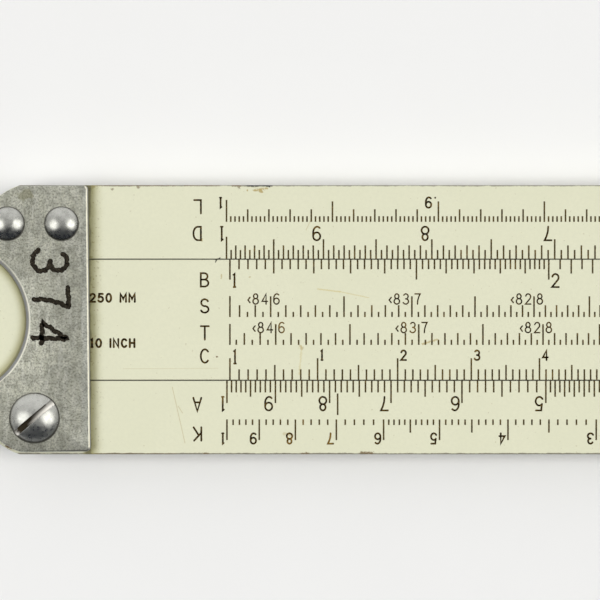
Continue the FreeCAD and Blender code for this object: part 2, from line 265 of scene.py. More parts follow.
def mark(tree, place, start, end, width, ragged, seed):
    """A worn stroke on the face: 1 on the line from start to end, in mm, fading over its width."""
    flat = vector_maths(tree, "MULTIPLY", place, (1, 1, 0)).outputs[0]
    start = np.array((*start, 0)) * MM
    run = np.array((*end, 0)) * MM - start
    away = vector_maths(tree, "SUBTRACT", flat, start).outputs[0]
    along = vector_maths(tree, "DOT_PRODUCT", away, run / max(1e-12, run @ run)).outputs["Value"]
    share = maths(tree, "MAXIMUM", maths(tree, "MINIMUM", along, 1.0), 0.0)
    foot = node(tree, "ShaderNodeVectorMath", [(0, run), ("Scale", share)], operation="SCALE").outputs[0]
    gap = vector_maths(tree, "DISTANCE", away, foot)
    wobble = grain(tree, place, 1800.0 / max(width, 0.2), detail=3.0, shift=(seed, 0, 0))
    reach = times(tree, maths(tree, "SUBTRACT", wobble, 0.5), 2 * ragged * width * MM)
    distance = maths(tree, "ADD", gap.outputs["Value"], reach)
    return spread(tree, distance, 0.5 * width * MM, 0.1 * width * MM)


def away_from(tree, place, x, y):
    """Distance over the face from this point, or from its mirror image at the other end."""
    axes = node(tree, "ShaderNodeSeparateXYZ", [(0, place)])
    along = maths(tree, "SUBTRACT", maths(tree, "ABSOLUTE", axes.outputs["X"]), x)
    across = maths(tree, "SUBTRACT", axes.outputs["Y"], y)
    squares = maths(tree, "ADD", maths(tree, "POWER", along, 2), maths(tree, "POWER", across, 2))
    return maths(tree, "SQRT", squares)


def enamel_material(name, marks, chipped_and_shaded_width):
    """Pale baked enamel: faint mottling, dust specks and this list of worn marks. The enamel is
    chipped back from the long edges by about the width given, which also darkens them with painted
    shade, and painted shade joins the dirt beside the brackets, under the notch's rim and along the
    slide's seam."""
    settings = {"Roughness": 0.42, "Specular IOR Level": 0.35}
    material, tree, shader, place = new_material(name, settings)
    cloud = patches(tree, place, 160.0, 0.35, 0.68, detail=4.0)
    colour = blend_colour(tree, cloud, ENAMEL, (0.728, 0.730, 0.549, 1))
    stipple = patches(tree, place, 2400.0, 0.35, 0.65, detail=3.0)
    colour = stain(tree, colour, stipple, 0.5, (0.705, 0.707, 0.535, 1))
    specks = patches(tree, place, 2600.0, 0.735, 0.77, detail=1.0)
    colour = stain(tree, colour, specks, 0.35, (0.42, 0.36, 0.22, 1))

    # chips and painted shade along the long edges, and the list of marks, all kept to the face and
    # the top of its edges
    axes = node(tree, "ShaderNodeSeparateXYZ", [(0, place)])
    across = maths(tree, "ABSOLUTE", axes.outputs["Y"])
    chips_and_shade_noise = grain(tree, place, 900.0, detail=4.0, rough=0.7)
    reach = maths(tree, "ADD", across, times(tree, chips_and_shade_noise, 0.34 * MM))
    near_face = spread(tree, axes.outputs["Z"], FACE_Z - 0.5 * MM, FACE_Z - 0.2 * MM)
    edge = spread(tree, reach, stator_high.y + 0.03 * MM - chipped_and_shaded_width, stator_high.y + 0.17 * MM - chipped_and_shaded_width)
    colour = stain(tree, colour, edge, times(tree, near_face, 0.85), (0.14, 0.125, 0.09, 1))
    for number, (start, end, width, tone, amount, ragged) in enumerate(marks):
        shape = times(tree, mark(tree, place, start, end, width, ragged, 0.37 * number + 0.1), near_face)
        colour = stain(tree, colour, shape, amount, tone)

    # grime and soil beside the brackets, by distance past their straight edge, and round the notch,
    # with painted shade where the brackets' edges and the notch's rim shade the enamel
    along = maths(tree, "ABSOLUTE", axes.outputs["X"])
    past = maths(tree, "ADD", along, times(tree, grain(tree, place, 700.0, detail=4.0), 0.5 * MM))
    past = maths(tree, "SUBTRACT", past, BRACKET_INNER_X)
    grime_and_shade = band(tree, past, -1.67 * MM, 0.33 * MM, 0.73 * MM, 1.23 * MM)
    uneven = times(tree, grain(tree, place, 2200.0, detail=2.0), 0.12 * MM)
    to_notch = maths(tree, "ADD", away_from(tree, place, NOTCH_X, 0), uneven)
    under_rim = times(tree, band(tree, to_notch, 7.45 * MM, 8.75 * MM, 9.4 * MM, 9.9 * MM), 0.9)
    grime_and_shade = maths(tree, "POWER", maths(tree, "MAXIMUM", grime_and_shade, under_rim), 1.3)
    colour = stain(tree, colour, grime_and_shade, 0.8, (0.33, 0.305, 0.10, 1))
    soil = patches(tree, place, 3000.0, 0.6, 0.7, detail=2.0)
    soil = times(tree, soil, band(tree, past, -1.87 * MM, 0.03 * MM, 0.73 * MM, 1.23 * MM))
    colour = stain(tree, colour, soil, 0.6, (0.22, 0.17, 0.06, 1))

    # near-black crust and painted contact shade in the corners: under the notch's rim, at the bracket's
    # edge, along the slide
    crust_and_contact_shade = band(tree, to_notch, 8.6 * MM, 8.7 * MM, 9.3 * MM, 9.6 * MM, 0.5)
    edge_line = times(tree, band(tree, past, -0.02 * MM, 0.23 * MM, 0.63 * MM, 1.03 * MM), 0.75)
    crust_and_contact_shade = maths(tree, "MAXIMUM", crust_and_contact_shade, edge_line)
    seam_start, seam_stop = slide_high.y - 1.35 * MM, stator_low.y + 0.06 * MM
    seam = band(tree, across, seam_start, seam_start + 0.06 * MM, stator_low.y, seam_stop)
    crust_and_contact_shade = maths(tree, "MAXIMUM", crust_and_contact_shade, times(tree, seam, 0.8))
    colour = stain(tree, colour, crust_and_contact_shade, 0.8, (0.065, 0.06, 0.045, 1))
    tint(tree, shader, colour)
    bump(tree, shader, grain(tree, place, 1400.0, detail=2.0), 0.004 * MM)
    return material


TAN = (0.42, 0.31, 0.10, 1)
BROWN = (0.16, 0.10, 0.035, 1)
BLACK = (0.02, 0.018, 0.014, 1)
YELLOW = (0.60, 0.50, 0.20, 1)

# worn marks: where each stroke starts and ends, its width, in mm, its colour, strength and raggedness
riveted_marks = [
    ((-122.6, 15.84), (-119.7, 15.82), 0.4, BLACK, 1.0, 0.6),
    ((-124.3, 15.84), (-123.4, 15.82), 0.32, BROWN, 0.9, 0.6),
    ((-129.9, 15.88), (-125.9, 15.88), 0.28, BROWN, 0.8, 0.6),
    ((-141.0, 15.86), (-131.0, 15.86), 0.24, BROWN, 0.75, 0.8),
    ((-141.2, 15.4), (-140.7, 15.75), 0.5, BROWN, 0.6, 0.8),
    ((-141.1, 7.4), (-140.9, 7.4), 0.3, BLACK, 0.8, 0.5),
    ((-121.6, 15.32), (-120.95, 15.25), 0.62, TAN, 0.85, 0.9),
    ((-121.0, 15.4), (-120.2, 15.52), 0.36, TAN, 0.7, 0.9),
    ((-123.55, 15.58), (-123.5, 15.5), 0.36, BROWN, 0.7, 0.8),
    ((-122.56, 15.28), (-122.56, 15.25), 0.24, TAN, 0.85, 0.5),
    ((-138.5, 15.4), (-138.45, 15.4), 0.45, BROWN, 0.6, 0.5),
    ((-135.5, 15.62), (-135.4, 15.62), 0.4, BROWN, 0.7, 0.5),
    ((-126.25, 7.05), (-125.75, 7.3), 0.22, BLACK, 1.0, 0.3),
    ((-127.9, 9.35), (-127.9, 9.5), 0.3, TAN, 0.7, 0.5),
    ((-115.6, 10.6), (-115.0, 11.9), 0.16, TAN, 0.35, 0.3),
]
adjustable_marks = [
    ((-131.4, -7.95), (-129.9, -14.55), 0.14, TAN, 0.45, 0.35),
    ((-130.7, -10.2), (-130.2, -11.0), 0.16, TAN, 0.4, 0.35),
    ((-109.1, -15.7), (-107.8, -15.72), 0.45, BROWN, 0.85, 0.7),
    ((-127.6, -15.75), (-127.2, -15.8), 0.4, BROWN, 0.85, 0.5),
    ((-116.1, -15.8), (-115.4, -15.8), 0.4, BROWN, 0.85, 0.5),
    ((-140.5, -15.82), (-131.0, -15.84), 0.2, BROWN, 0.7, 0.9),
    ((-150.85, -14.85), (-150.5, -15.1), 0.65, BROWN, 1.0, 0.7),
    ((-118.2, -13.4), (-117.2, -13.6), 0.5, TAN, 0.35, 0.8),
]
riveted_enamel = enamel_material("enamel_riveted_stator", riveted_marks, 0.04 * MM)
adjustable_enamel = enamel_material("enamel_adjustable_stator", adjustable_marks, 0.07 * MM)


def stator_mesh(name, low, high, upper, holes):
    """A stator: rings from the back face to the front, with the groove cut into its inner edge. The
    lower one is the upper one's outline reflected in X."""
    if not upper:
        low, high = Vector((low.x, -high.y, low.z)), Vector((high.x, -low.y, high.z))
    outline, inner = stator_outline(low, high)
    middle = (low.z + high.z) / 2
    cut = np.where(inner, GROOVE_DEEP, 0)
    edge_break = np.where(inner, 0, STATOR_BREAK)
    inset = [edge_break, 0 * cut, 0 * cut, cut, cut, 0 * cut, 0 * cut, edge_break]
    height = [
        low.z,
        low.z + np.where(inner, SHEER, STATOR_BREAK),
        middle - GROOVE_HALF - SHEER,
        middle - GROOVE_HALF,
        middle + GROOVE_HALF,
        middle + GROOVE_HALF + SHEER,
        high.z - np.where(inner, SHEER, STATOR_BREAK),
        high.z,
    ]
    if not upper:
        outline = outline[::-1] * (1, -1)
        inset = [np.broadcast_to(row, len(outline))[::-1] for row in inset]
        height = [np.broadcast_to(row, len(outline))[::-1] for row in height]
    return plate_mesh(name, outline, inset, height, holes)


screw_low, screw_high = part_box("tension_screw_right")
SCREW_X = (screw_low.x + screw_high.x) / 2
SCREW_Y = (screw_low.y + screw_high.y) / 2
RIVET_X = [(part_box(n)[0].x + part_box(n)[1].x) / 2 for n in ("rivet_right_inner", "rivet_right_outer")]
RIVET_X += [-x for x in RIVET_X]

rivet_holes = [(x, RIVET_Y, RIVET_HOLE) for x in RIVET_X]
screw_holes = [(x, SCREW_Y, ADJUSTING_HOLE) for x in (-SCREW_X, SCREW_X)]
for cad_node, body, holes, enamel in (
    ("riveted_stator", "body", rivet_holes, riveted_enamel),
    ("adjustable_stator", "adjustable_stator", screw_holes, adjustable_enamel),
):
    mesh = stator_mesh(f"{cad_node}_enamelled", *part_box(cad_node), body == "body", holes)
    piece = add_piece(mesh.name, mesh, enamel)
    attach(piece, body)
    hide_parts(cad_node)


# ------------------------------------------------------------------------------------------------
# Slide. One long bar of the same enamelled aluminium, with a tongue milled along both edges that
# runs in the stators' grooves. It is pushed by its ends with a thumb in the brackets' notches.
# ------------------------------------------------------------------------------------------------
SLIDE_FACE_Z = slide_high.z
TONGUE_OUT = 1.3 * MM
TONGUE_HALF = 0.5 * MM
SLIDE_BREAK = 0.05 * MM
SLIDE_SHIFT = (slide_low.x + slide_high.x) / 2


def slide_mesh(name):
    """The slide's section, a plate with two tongues, carried straight along X; each end is one face."""
    top, bottom = slide_high.z, slide_low.z
    middle = (top + bottom) / 2
    tip = slide_high.y
    edge = tip - TONGUE_OUT
    side = [
        (edge - SLIDE_BREAK, bottom),
        (edge, bottom + SLIDE_BREAK),
        (edge, middle - TONGUE_HALF),
        (tip, middle - TONGUE_HALF),
        (tip, middle + TONGUE_HALF),
        (edge, middle + TONGUE_HALF),
        (edge, top - SLIDE_BREAK),
        (edge - SLIDE_BREAK, top),
    ]
    section = np.array(side + [(-y, z) for y, z in side[::-1]])
    count = len(section)
    x = np.repeat([slide_low.x, slide_high.x], count)
    points = np.column_stack([x, np.tile(section, (2, 1))])
    i = np.arange(count)
    faces = np.stack([i, (i + 1) % count, (i + 1) % count + count, i + count], axis=1).tolist()
    faces += [list(range(count))[::-1], list(range(count, 2 * count))]
    mesh = bpy.data.meshes.new(name)
    mesh.from_pydata(points.tolist(), [], faces)
    return closed(mesh)


slide_marks = [
    ((-114.2, 3.62), (-111.6, 3.3), 0.24, YELLOW, 0.6, 0.4),
    ((-111.6, 3.3), (-108.2, 2.6), 0.18, YELLOW, 0.5, 0.5),
    ((-116.15, -3.1), (-116.4, -6.4), 0.3, YELLOW, 0.4, 0.8),
    ((-116.3, -3.2), (-116.05, -3.45), 0.5, TAN, 0.5, 0.8),
    ((-101.9, -2.85), (-100.1, -2.35), 0.3, TAN, 0.65, 0.8),
    ((-126.14, -4.38), (-126.1, -4.38), 0.3, BROWN, 1.0, 0.3),
    ((-122.3, 5.05), (-122.2, 5.05), 0.26, TAN, 0.6, 0.4),
    ((-125.6, 4.9), (-125.6, 5.3), 0.25, TAN, 0.6, 0.5),
    ((-137.2, -5.78), (-126.0, -5.72), 0.1, TAN, 0.3, 0.2),
    ((-126.3, 6.82), (-126.22, 7.02), 0.22, BLACK, 0.95, 0.3),
    ((-126.25, 7.05), (-125.75, 7.3), 0.22, BLACK, 1.0, 0.3),
]
slide_enamel = enamel_material("enamel_slide", slide_marks, 0)
slide_bar = add_piece("slide_enamelled", slide_mesh("slide_enamelled"), slide_enamel)
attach(slide_bar, "slide")
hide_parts("slide")


# ------------------------------------------------------------------------------------------------
# Printed scales, in dark brown-black ink that stands a little proud. K and A are on the screwed
# stator, D and L on the riveted one, and B, S, T and C on the slide. The slide went in the other
# way round from the body, so the stators' scales are upside down beside it.
# ------------------------------------------------------------------------------------------------
DECADE = 250.0
INK_HIGH = 0.012 * MM
TICK_WIDE = 0.19
LINE_WIDE = 0.215
NARROW = 0.87
INK = (0.018, 0.011, 0.003, 1)


def ink_material(name, dark, faded, amount, rubbed):
    """Printing ink with patches that have worn to a paler brown, and these rubbed spots (x, y, width)."""
    settings = {"Roughness": 0.55, "Specular IOR Level": 0.08}
    material, tree, shader, place = new_material(name, settings)
    worn = patches(tree, place, 420.0, 0.56, 0.7, 0.0, amount, detail=3.0, rough=0.6)
    colour = blend_colour(tree, worn, dark, faded)
    for number, (x, y, width) in enumerate(rubbed):
        spot = mark(tree, place, (x, y - 0.3), (x, y + 0.3), width, 0.5, 0.31 * number)
        colour = stain(tree, colour, spot, 0.8, faded)
    fine = patches(tree, place, 3200.0, 0.4, 0.75, 0.0, 0.45, detail=2.0)
    colour = blend_colour(tree, fine, colour, faded)
    tint(tree, shader, colour)
    return material


TICK_INK = (0.055, 0.040, 0.015, 1)
rubbed_ticks = [(-116.0, -12.1, 0.6), (-122.3, -12.6, 0.5)]
rubbed_letters = [(-118.5, -0.9, 1.3), (-117.5, -14.1, 0.9), (-112.8, -14.0, 1.3)]
tick_ink = ink_material("tick_ink", TICK_INK, (0.24, 0.165, 0.06, 1), 0.5, rubbed_ticks)
letter_ink = ink_material("letter_ink", INK, (0.25, 0.155, 0.04, 1), 0.6, rubbed_letters)


def ladder(start, stop, steps):
    """Values from start to stop and the length of each one's tick.

    steps is a list of (step, length), finest first: a value takes the length of the coarsest step
    that divides it."""
    fine = steps[0][0]
    k = np.arange(round(start / fine), round(stop / fine))
    length = np.full(len(k), steps[0][1])
    for step, reach in steps[1:]:
        length = np.where(k % round(step / fine) == 0, reach, length)
    return k * fine, length


def join_ladders(parts):
    """The values and lengths of several stretches, one after another."""
    pairs = [ladder(*part) for part in parts]
    return np.concatenate([v for v, _ in pairs]), np.concatenate([n for _, n in pairs])


def box_points(x0, x1, y0, y1, z0, z1):
    """The eight corners of each of many boxes, as one array."""
    x = np.stack([x0, x1, x1, x0, x0, x1, x1, x0], axis=1)
    y = np.stack([y0, y0, y1, y1, y0, y0, y1, y1], axis=1)
    z = np.broadcast_to(np.array([z0] * 4 + [z1] * 4), x.shape)
    return np.stack([x, y, z], axis=2)


BOX_FACES = np.array([(3, 2, 1, 0), (4, 5, 6, 7), (0, 1, 5, 4), (1, 2, 6, 5), (2, 3, 7, 6), (3, 0, 4, 7)])


def tick_points(x, base, length, wide, z):
    """Corners of the ticks at these places, in metres, rising (or hanging) from a base line."""
    low, high = np.minimum(base, base + length), np.maximum(base, base + length)
    half = wide / 2
    values = [np.broadcast_to(v, np.shape(x)) * MM for v in (x - half, x + half, low, high)]
    return box_points(*values, z, z + INK_HIGH)


# Strokes of the lettering on a box one unit high, drawn with a round pen. A tuple (x, y, rx, ry,
# start, stop) is an arc in degrees and a list is a straight run of points.
UNIT_STROKES = {
    "0": [(0.3, 0.5, 0.3, 0.5, 90, 450)],
    "1": [[(0.03, 0.94), (0.12, 1.0), (0.12, 0.0)], [(0.05, 0.0), (0.19, 0.0)]],
    "2": [[(0.3, 0.72, 0.28, 0.28, 165, -30), (0.0, 0.0), (0.6, 0.0)]],
    "3": [[(0.28, 0.75, 0.26, 0.25, 150, -90)], [(0.27, 0.26, 0.31, 0.26, 90, -155)]],
    "4": [[(0.44, 0.0), (0.44, 1.0), (0.0, 0.27), (0.6, 0.27)]],
    "5": [[(0.56, 1.0), (0.12, 1.0), (0.06, 0.52)], [(0.28, 0.32, 0.31, 0.32, 132, -150)]],
    "6": [(0.3, 0.29, 0.3, 0.29, 90, 450), [(0.34, 0.56, 0.34, 0.44, 52, 180), (0.0, 0.29)]],
    "7": [[(0.0, 1.0), (0.58, 1.0), (0.42, 0.7), (0.31, 0.35), (0.28, 0.0)]],
    "8": [(0.3, 0.765, 0.23, 0.235, -90, 270), (0.3, 0.27, 0.3, 0.27, 90, 450)],
    "9": [(0.3, 0.71, 0.3, 0.29, -90, 270), [(0.26, 0.44, 0.34, 0.44, -128, 0), (0.6, 0.71)]],
    ".": [[(0.0, 0.03), (0.0, 0.04)]],
    "<": [[(0.28, 0.66), (0.05, 0.4), (0.28, 0.14)]],
    "p": [[(0.0, 0.68), (0.7, 0.68)], [(0.18, 0.68), (0.12, 0.0)], [(0.5, 0.68), (0.54, 0.0)]],
    "L": [[(0.0, 1.0), (0.0, 0.0), (0.52, 0.0)]],
    "D": [[(0.0, 0.5), (0.0, 1.0), (0.24, 0.5, 0.34, 0.5, 90, -90), (0.0, 0.0), (0.0, 0.5)]],
    "B": [
        [(0.0, 0.52), (0.0, 1.0), (0.27, 0.76, 0.25, 0.24, 90, -90), (0.0, 0.52)],
        [(0.0, 0.52), (0.28, 0.26, 0.31, 0.26, 90, -90), (0.0, 0.0), (0.0, 0.52)],
    ],
    "S": [[(0.3, 0.745, 0.27, 0.255, 25, 270), (0.3, 0.245, 0.3, 0.245, 90, -160)]],
    "T": [[(0.0, 1.0), (0.62, 1.0)], [(0.31, 1.0), (0.31, 0.0)]],
    "C": [[(0.32, 0.5, 0.32, 0.5, 42, 318)]],
    "A": [[(0.0, 0.0), (0.31, 1.0), (0.62, 0.0)], [(0.11, 0.34), (0.51, 0.34)]],
    "K": [[(0.0, 1.0), (0.0, 0.0)], [(0.56, 1.0), (0.0, 0.4)], [(0.2, 0.6), (0.6, 0.0)]],
    "M": [[(0.0, 0.0), (0.0, 1.0), (0.35, 0.35), (0.7, 1.0), (0.7, 0.0)]],
    "I": [[(0.0, 0.0), (0.0, 1.0)]],
    "N": [[(0.0, 0.0), (0.0, 1.0), (0.58, 0.0), (0.58, 1.0)]],
    "H": [[(0.0, 0.0), (0.0, 1.0)], [(0.58, 0.0), (0.58, 1.0)], [(0.0, 0.52), (0.58, 0.52)]],
}
GLYPH_WIDE = {"1": 0.24, ".": 0.0, "I": 0.0, "M": 0.7, "<": 0.18, "p": 0.7, " ": 0.35}


def pen_path(stroke):
    """The points of one stroke: its straight corners, and its arcs in steps of about 15 degrees."""
    if isinstance(stroke, tuple):
        stroke = [stroke]
    points = []
    for item in stroke:
        if len(item) == 2:
            points.append(np.array([item]))
            continue
        x, y, rx, ry, start, stop = item
        turn = np.radians(np.linspace(start, stop, int(abs(stop - start) / 15) + 2))
        points.append(np.stack([x + rx * np.cos(turn), y + ry * np.sin(turn)], axis=1))
    path = np.concatenate(points)
    keep = np.concatenate([[True], np.linalg.norm(np.diff(path, axis=0), axis=1) > 1e-6])
    return path[keep]


def ribbon(path, wide, z0, z1, round_ends=True):
    """A flat stroke: a rectangle carried along a path and, at a round end, narrowed to nothing on a
    half circle. Returns its points and its quads."""
    step = np.diff(path, axis=0)
    step /= np.linalg.norm(step, axis=1, keepdims=True)
    ahead = np.concatenate([step, step[-1:]])
    behind = np.concatenate([step[:1], step])
    tangent = ahead + behind
    size = np.linalg.norm(tangent, axis=1, keepdims=True)
    tangent = np.where(size > 0.2, tangent / np.maximum(size, 1e-9), ahead)
    stretch = 1 / np.clip((tangent * ahead).sum(axis=1), 0.45, 1)
    half = np.broadcast_to(wide, len(path)) / 2 * stretch
    turn = np.radians([90, 60, 30] if round_ends else [])
    start = path[0] - step[0] * np.sin(turn)[:, None] * half[0]
    end = path[-1] + step[-1] * np.sin(turn[::-1])[:, None] * half[-1]
    spine = np.concatenate([start, path, end])
    round_end = np.maximum(np.cos(turn), 0.08)
    half = np.concatenate([round_end * half[0], half, round_end[::-1] * half[-1]])
    extra = len(turn)
    tangent = np.concatenate([np.repeat(step[:1], extra, 0), tangent, np.repeat(step[-1:], extra, 0)])
    across = np.stack([-tangent[:, 1], tangent[:, 0]], axis=1) * half[:, None]
    left, right = spine + across, spine - across
    count = len(spine)
    points = np.zeros((count, 4, 3))
    points[:, 0, :2], points[:, 1, :2], points[:, 2, :2], points[:, 3, :2] = right, right, left, left
    points[:, (0, 3), 2], points[:, (1, 2), 2] = z0, z1
    i, j = np.meshgrid(np.arange(count - 1), np.arange(4), indexing="ij")
    here, there = 4 * i + j, 4 * i + (j + 1) % 4
    faces = np.stack([here, here + 4, there + 4, there], axis=-1).reshape(-1, 4)
    ends = np.array([(0, 1, 2, 3), (4 * count - 1, 4 * count - 2, 4 * count - 3, 4 * count - 4)])
    return points.reshape(-1, 3), np.concatenate([faces, ends])


def text_parts(text, x, y, high, pen, z, gap=0.38, narrow=NARROW):
    """Ribbons of a line of lettering whose lower left corner is at x, y; sizes in mm."""
    parts = []
    for letter in text:
        for layer, stroke in enumerate(UNIT_STROKES.get(letter, [])):
            path = (pen_path(stroke) * (narrow * high, high) + (x, y)) * MM
            parts.append(ribbon(path, pen * MM, z, z + INK_HIGH * (1 + 0.15 * layer)))
        x += (GLYPH_WIDE.get(letter, 0.6) * narrow + gap) * high
    return parts


def text_wide(text, high, gap=0.38, narrow=NARROW):
    """The width of a line of lettering."""
    return sum(GLYPH_WIDE.get(letter, 0.6) * narrow + gap for letter in text) * high - gap * high


def joined_mesh(name, parts, turned=False, shift=0.0):
    """One mesh from many (points, faces) parts, moved along X, or first turned half round."""
    offsets = np.cumsum([0] + [len(points) for points, _ in parts])
    points = np.concatenate([p for p, _ in parts])
    faces = np.concatenate([f + o for (_, f), o in zip(parts, offsets)])
    if turned:
        points = points * (-1, -1, 1)
    points = points + (shift, 0, 0)
    mesh = bpy.data.meshes.new(name)
    mesh.from_pydata(points.tolist(), [], faces.tolist())
    return mesh


LETTER_HIGH, LETTER_NARROW = 1.58, 0.96

# where each body's printing lies: its shift along X, its face, and the middle of the scale's letters
PRINTED_ON = {
    "body": (0.0, FACE_Z, DECADE / 2 + 3.48),
    "adjustable_stator": (0.05 * MM, FACE_Z, DECADE / 2 + 3.48),
    "slide": (SLIDE_SHIFT, SLIDE_FACE_Z, DECADE / 2 + 2.98),
}


def many_boxes(boxes):
    """The points and quads of an array of boxes, eight corners each."""
    faces = BOX_FACES[None] + 8 * np.arange(len(boxes))[:, None, None]
    return boxes.reshape(-1, 3), faces.reshape(-1, 4)


def print_scale(letter, x, base, length, labels, letter_y, body):
    """Prints one scale: its ticks, then its numerals and the scale's letter at both ends.

    x, base and length are in mm in the direction of reading; labels are (text, x, y, high, pen)."""
    shift, z, letter_x = PRINTED_ON[body]
    turned = body != "slide"
    boxes = tick_points(x, base, length, TICK_WIDE, z)
    ticks = joined_mesh(f"scale_{letter}_ticks", [many_boxes(boxes)], turned, shift)
    parts = []
    for text, at_x, at_y, high, pen in labels:
        parts += text_parts(text, at_x, at_y, high, pen, z)
    for side in (-1, 1):
        left = side * letter_x - text_wide(letter, LETTER_HIGH, narrow=LETTER_NARROW) / 2
        parts += text_parts(letter, left, letter_y, LETTER_HIGH, LINE_WIDE, z, narrow=LETTER_NARROW)
    numerals = joined_mesh(f"scale_{letter}_numerals", parts, turned, shift)
    for mesh, ink in ((ticks, tick_ink), (numerals, letter_ink)):
        piece = add_piece(mesh.name, mesh, ink)
        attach(piece, body)


def log_place(value, decades=1):
    """Where a value of 1 to 10^decades falls, in mm from the middle of the scales."""
    return DECADE * (np.log10(value) / decades - 0.5)


def beside(text, x, y, high, pen=LINE_WIDE, gap=0.38):
    """A label that stands to the right of its tick."""
    return (text, x + gap, y, high, pen)


BIG, SMALL = 1.60, 1.13
EDGE_D = stator_low.y / MM
EDGE_B = (slide_high.y - TONGUE_OUT) / MM


def c_or_d(grow, fifths, tenths, halves, index):
    """Values and tick lengths of a single-decade scale, with every tenth and half taller, and pi."""
    values, length = join_ladders(
        [
            (1, 2, [(0.01, fifths), (0.05, tenths), (0.1, halves), (1, halves)]),
            (2, 4, [(0.02, fifths), (0.1, tenths), (0.5, halves), (1, halves)]),
            (4, 10, [(0.05, fifths), (0.1, tenths), (0.5, halves), (1, halves)]),
        ]
    )
    values = np.concatenate([values, [10, math.pi]])
    length = np.concatenate([length, [index, halves]])
    return values, grow * length


def decade_labels(y, high, decades=1, one_gap=0.38):
    """The numerals 1 to 9 of each decade and the closing 1, which stands this far from its tick."""
    labels = [beside("1", DECADE / 2, y, high, gap=one_gap)]
    for decade in range(decades):
        labels.append(beside("1", log_place(10**decade, decades), y, high, gap=one_gap))
        for digit in range(2, 10):
            labels.append(beside(str(digit), log_place(digit * 10**decade, decades), y, high))
    return labels


def tenth_labels(y, high):
    """The small numerals of 1.1 to 1.9."""
    return [beside(str(n), log_place(1 + n / 10), y, high, gap=0.4) for n in range(1, 10)]


# L, the even scale of logarithms, outermost on the riveted stator
L_INDEX = 2.6
L_LABEL_Y, L_LABEL_HIGH = -14.44, 1.22
values, length = ladder(0, 1, [(0.002, 0.67), (0.01, 1.49), (0.05, 2.42)])
values, length = np.append(values, 1.0), np.append(length, L_INDEX)
length[0] = L_INDEX
labels = [beside("0", -DECADE / 2, L_LABEL_Y, L_LABEL_HIGH)]
labels.append(beside("1", DECADE / 2, L_LABEL_Y + 0.04, L_LABEL_HIGH - 0.06, gap=0.58))
for n in range(1, 10):
    labels.append(beside(f".{n}", DECADE * (n / 10 - 0.5), L_LABEL_Y, L_LABEL_HIGH))
print_scale("L", DECADE * (values - 0.5), -11.55, -length, labels, -14.12, "body")

# D, against the slide's upper edge
values, length = c_or_d(-1, 1.04, 1.58, 2.30, 2.6)
labels = decade_labels(-10.98, BIG, one_gap=0.40) + tenth_labels(-10.98, SMALL)
labels.append(beside("p", log_place(math.pi), -10.6, 1.3))
print_scale("D", log_place(values), -EDGE_D, length, labels, -10.97, "body")


def a_or_b(grow, fine, middle, tall, steps):
    """Values and tick lengths of a two-decade scale; steps are the finest step of 1-2, 2-5, 5-10."""
    parts = []
    for ten in (1, 10):
        for (start, stop), step in zip(((1, 2), (2, 5), (5, 10)), steps):
            tenth = 0.1 if step < 0.1 else 0.5
            half_tick = tall if start == 1 else middle
            ladder_steps = [(step * ten, fine), (tenth * ten, middle), (0.5 * ten, half_tick), (ten, tall)]
            parts.append((start * ten, stop * ten, ladder_steps))
    values, length = join_ladders(parts)
    values = np.concatenate([values, [100]])
    length = np.concatenate([length, [tall]])
    return values, grow * length


# B, hanging from the slide's upper edge
values, length = a_or_b(-1, 1.14, 1.64, 2.36, (0.02, 0.05, 0.1))
labels = decade_labels(3.86, 1.54, 2)
print_scale("B", log_place(values, 2), EDGE_B, length, labels, 3.92, "slide")

# C, standing on the slide's lower edge
values, length = c_or_d(1, 1.25, 1.77, 2.56, 2.63)
labels = decade_labels(-5.17, 1.55, one_gap=0.44) + tenth_labels(-4.75, SMALL)
labels.append(beside("p", log_place(math.pi), -4.6, 1.2))
print_scale("C", log_place(values), -EDGE_B, length, labels, -5.07, "slide")

# A, standing on the screwed stator's inner edge
values, length = a_or_b(1, 1.38, 1.89, 2.63, (0.02, 0.05, 0.1))
labels = decade_labels(9.10, BIG, 2, one_gap=0.33)
print_scale("A", log_place(values, 2), EDGE_D, length, labels, 9.21, "adjustable_stator")

# K, the three-decade scale of cubes, outermost on the screwed stator; the halves stop at 6
K_FINE, K_HALF, K_WHOLE = 0.66, 1.56, 2.44
parts = []
for ten in (1, 10, 100):
    taller = [(0.5 * ten, K_HALF), (ten, K_WHOLE)]
    parts.append((ten, 3 * ten, [(0.05 * ten, K_FINE)] + taller))
    parts.append((3 * ten, 6 * ten, [(0.1 * ten, K_FINE)] + taller))
    parts.append((6 * ten, 10 * ten, [(0.2 * ten, K_FINE), (ten, K_WHOLE)]))
values, length = join_ladders(parts)
values, length = np.append(values, 1000), np.append(length, K_WHOLE)
labels = decade_labels(13.40, 1.22, 3, one_gap=0.36)
print_scale("K", log_place(values, 3), 11.76, length, labels, 12.69, "adjustable_stator")


ANGLE_HIGH, ANGLE_PEN = 1.20, 0.16
ANGLE_TICKS = (0.61, 1.40, 2.45)
ANGLE_INDEX = 2.48
NAMED_ANGLES = (6, 7, 8, 9, 10, 12, 14, 16, 18, 20, 25, 30, 35, 40, 45, 50, 60, 90)


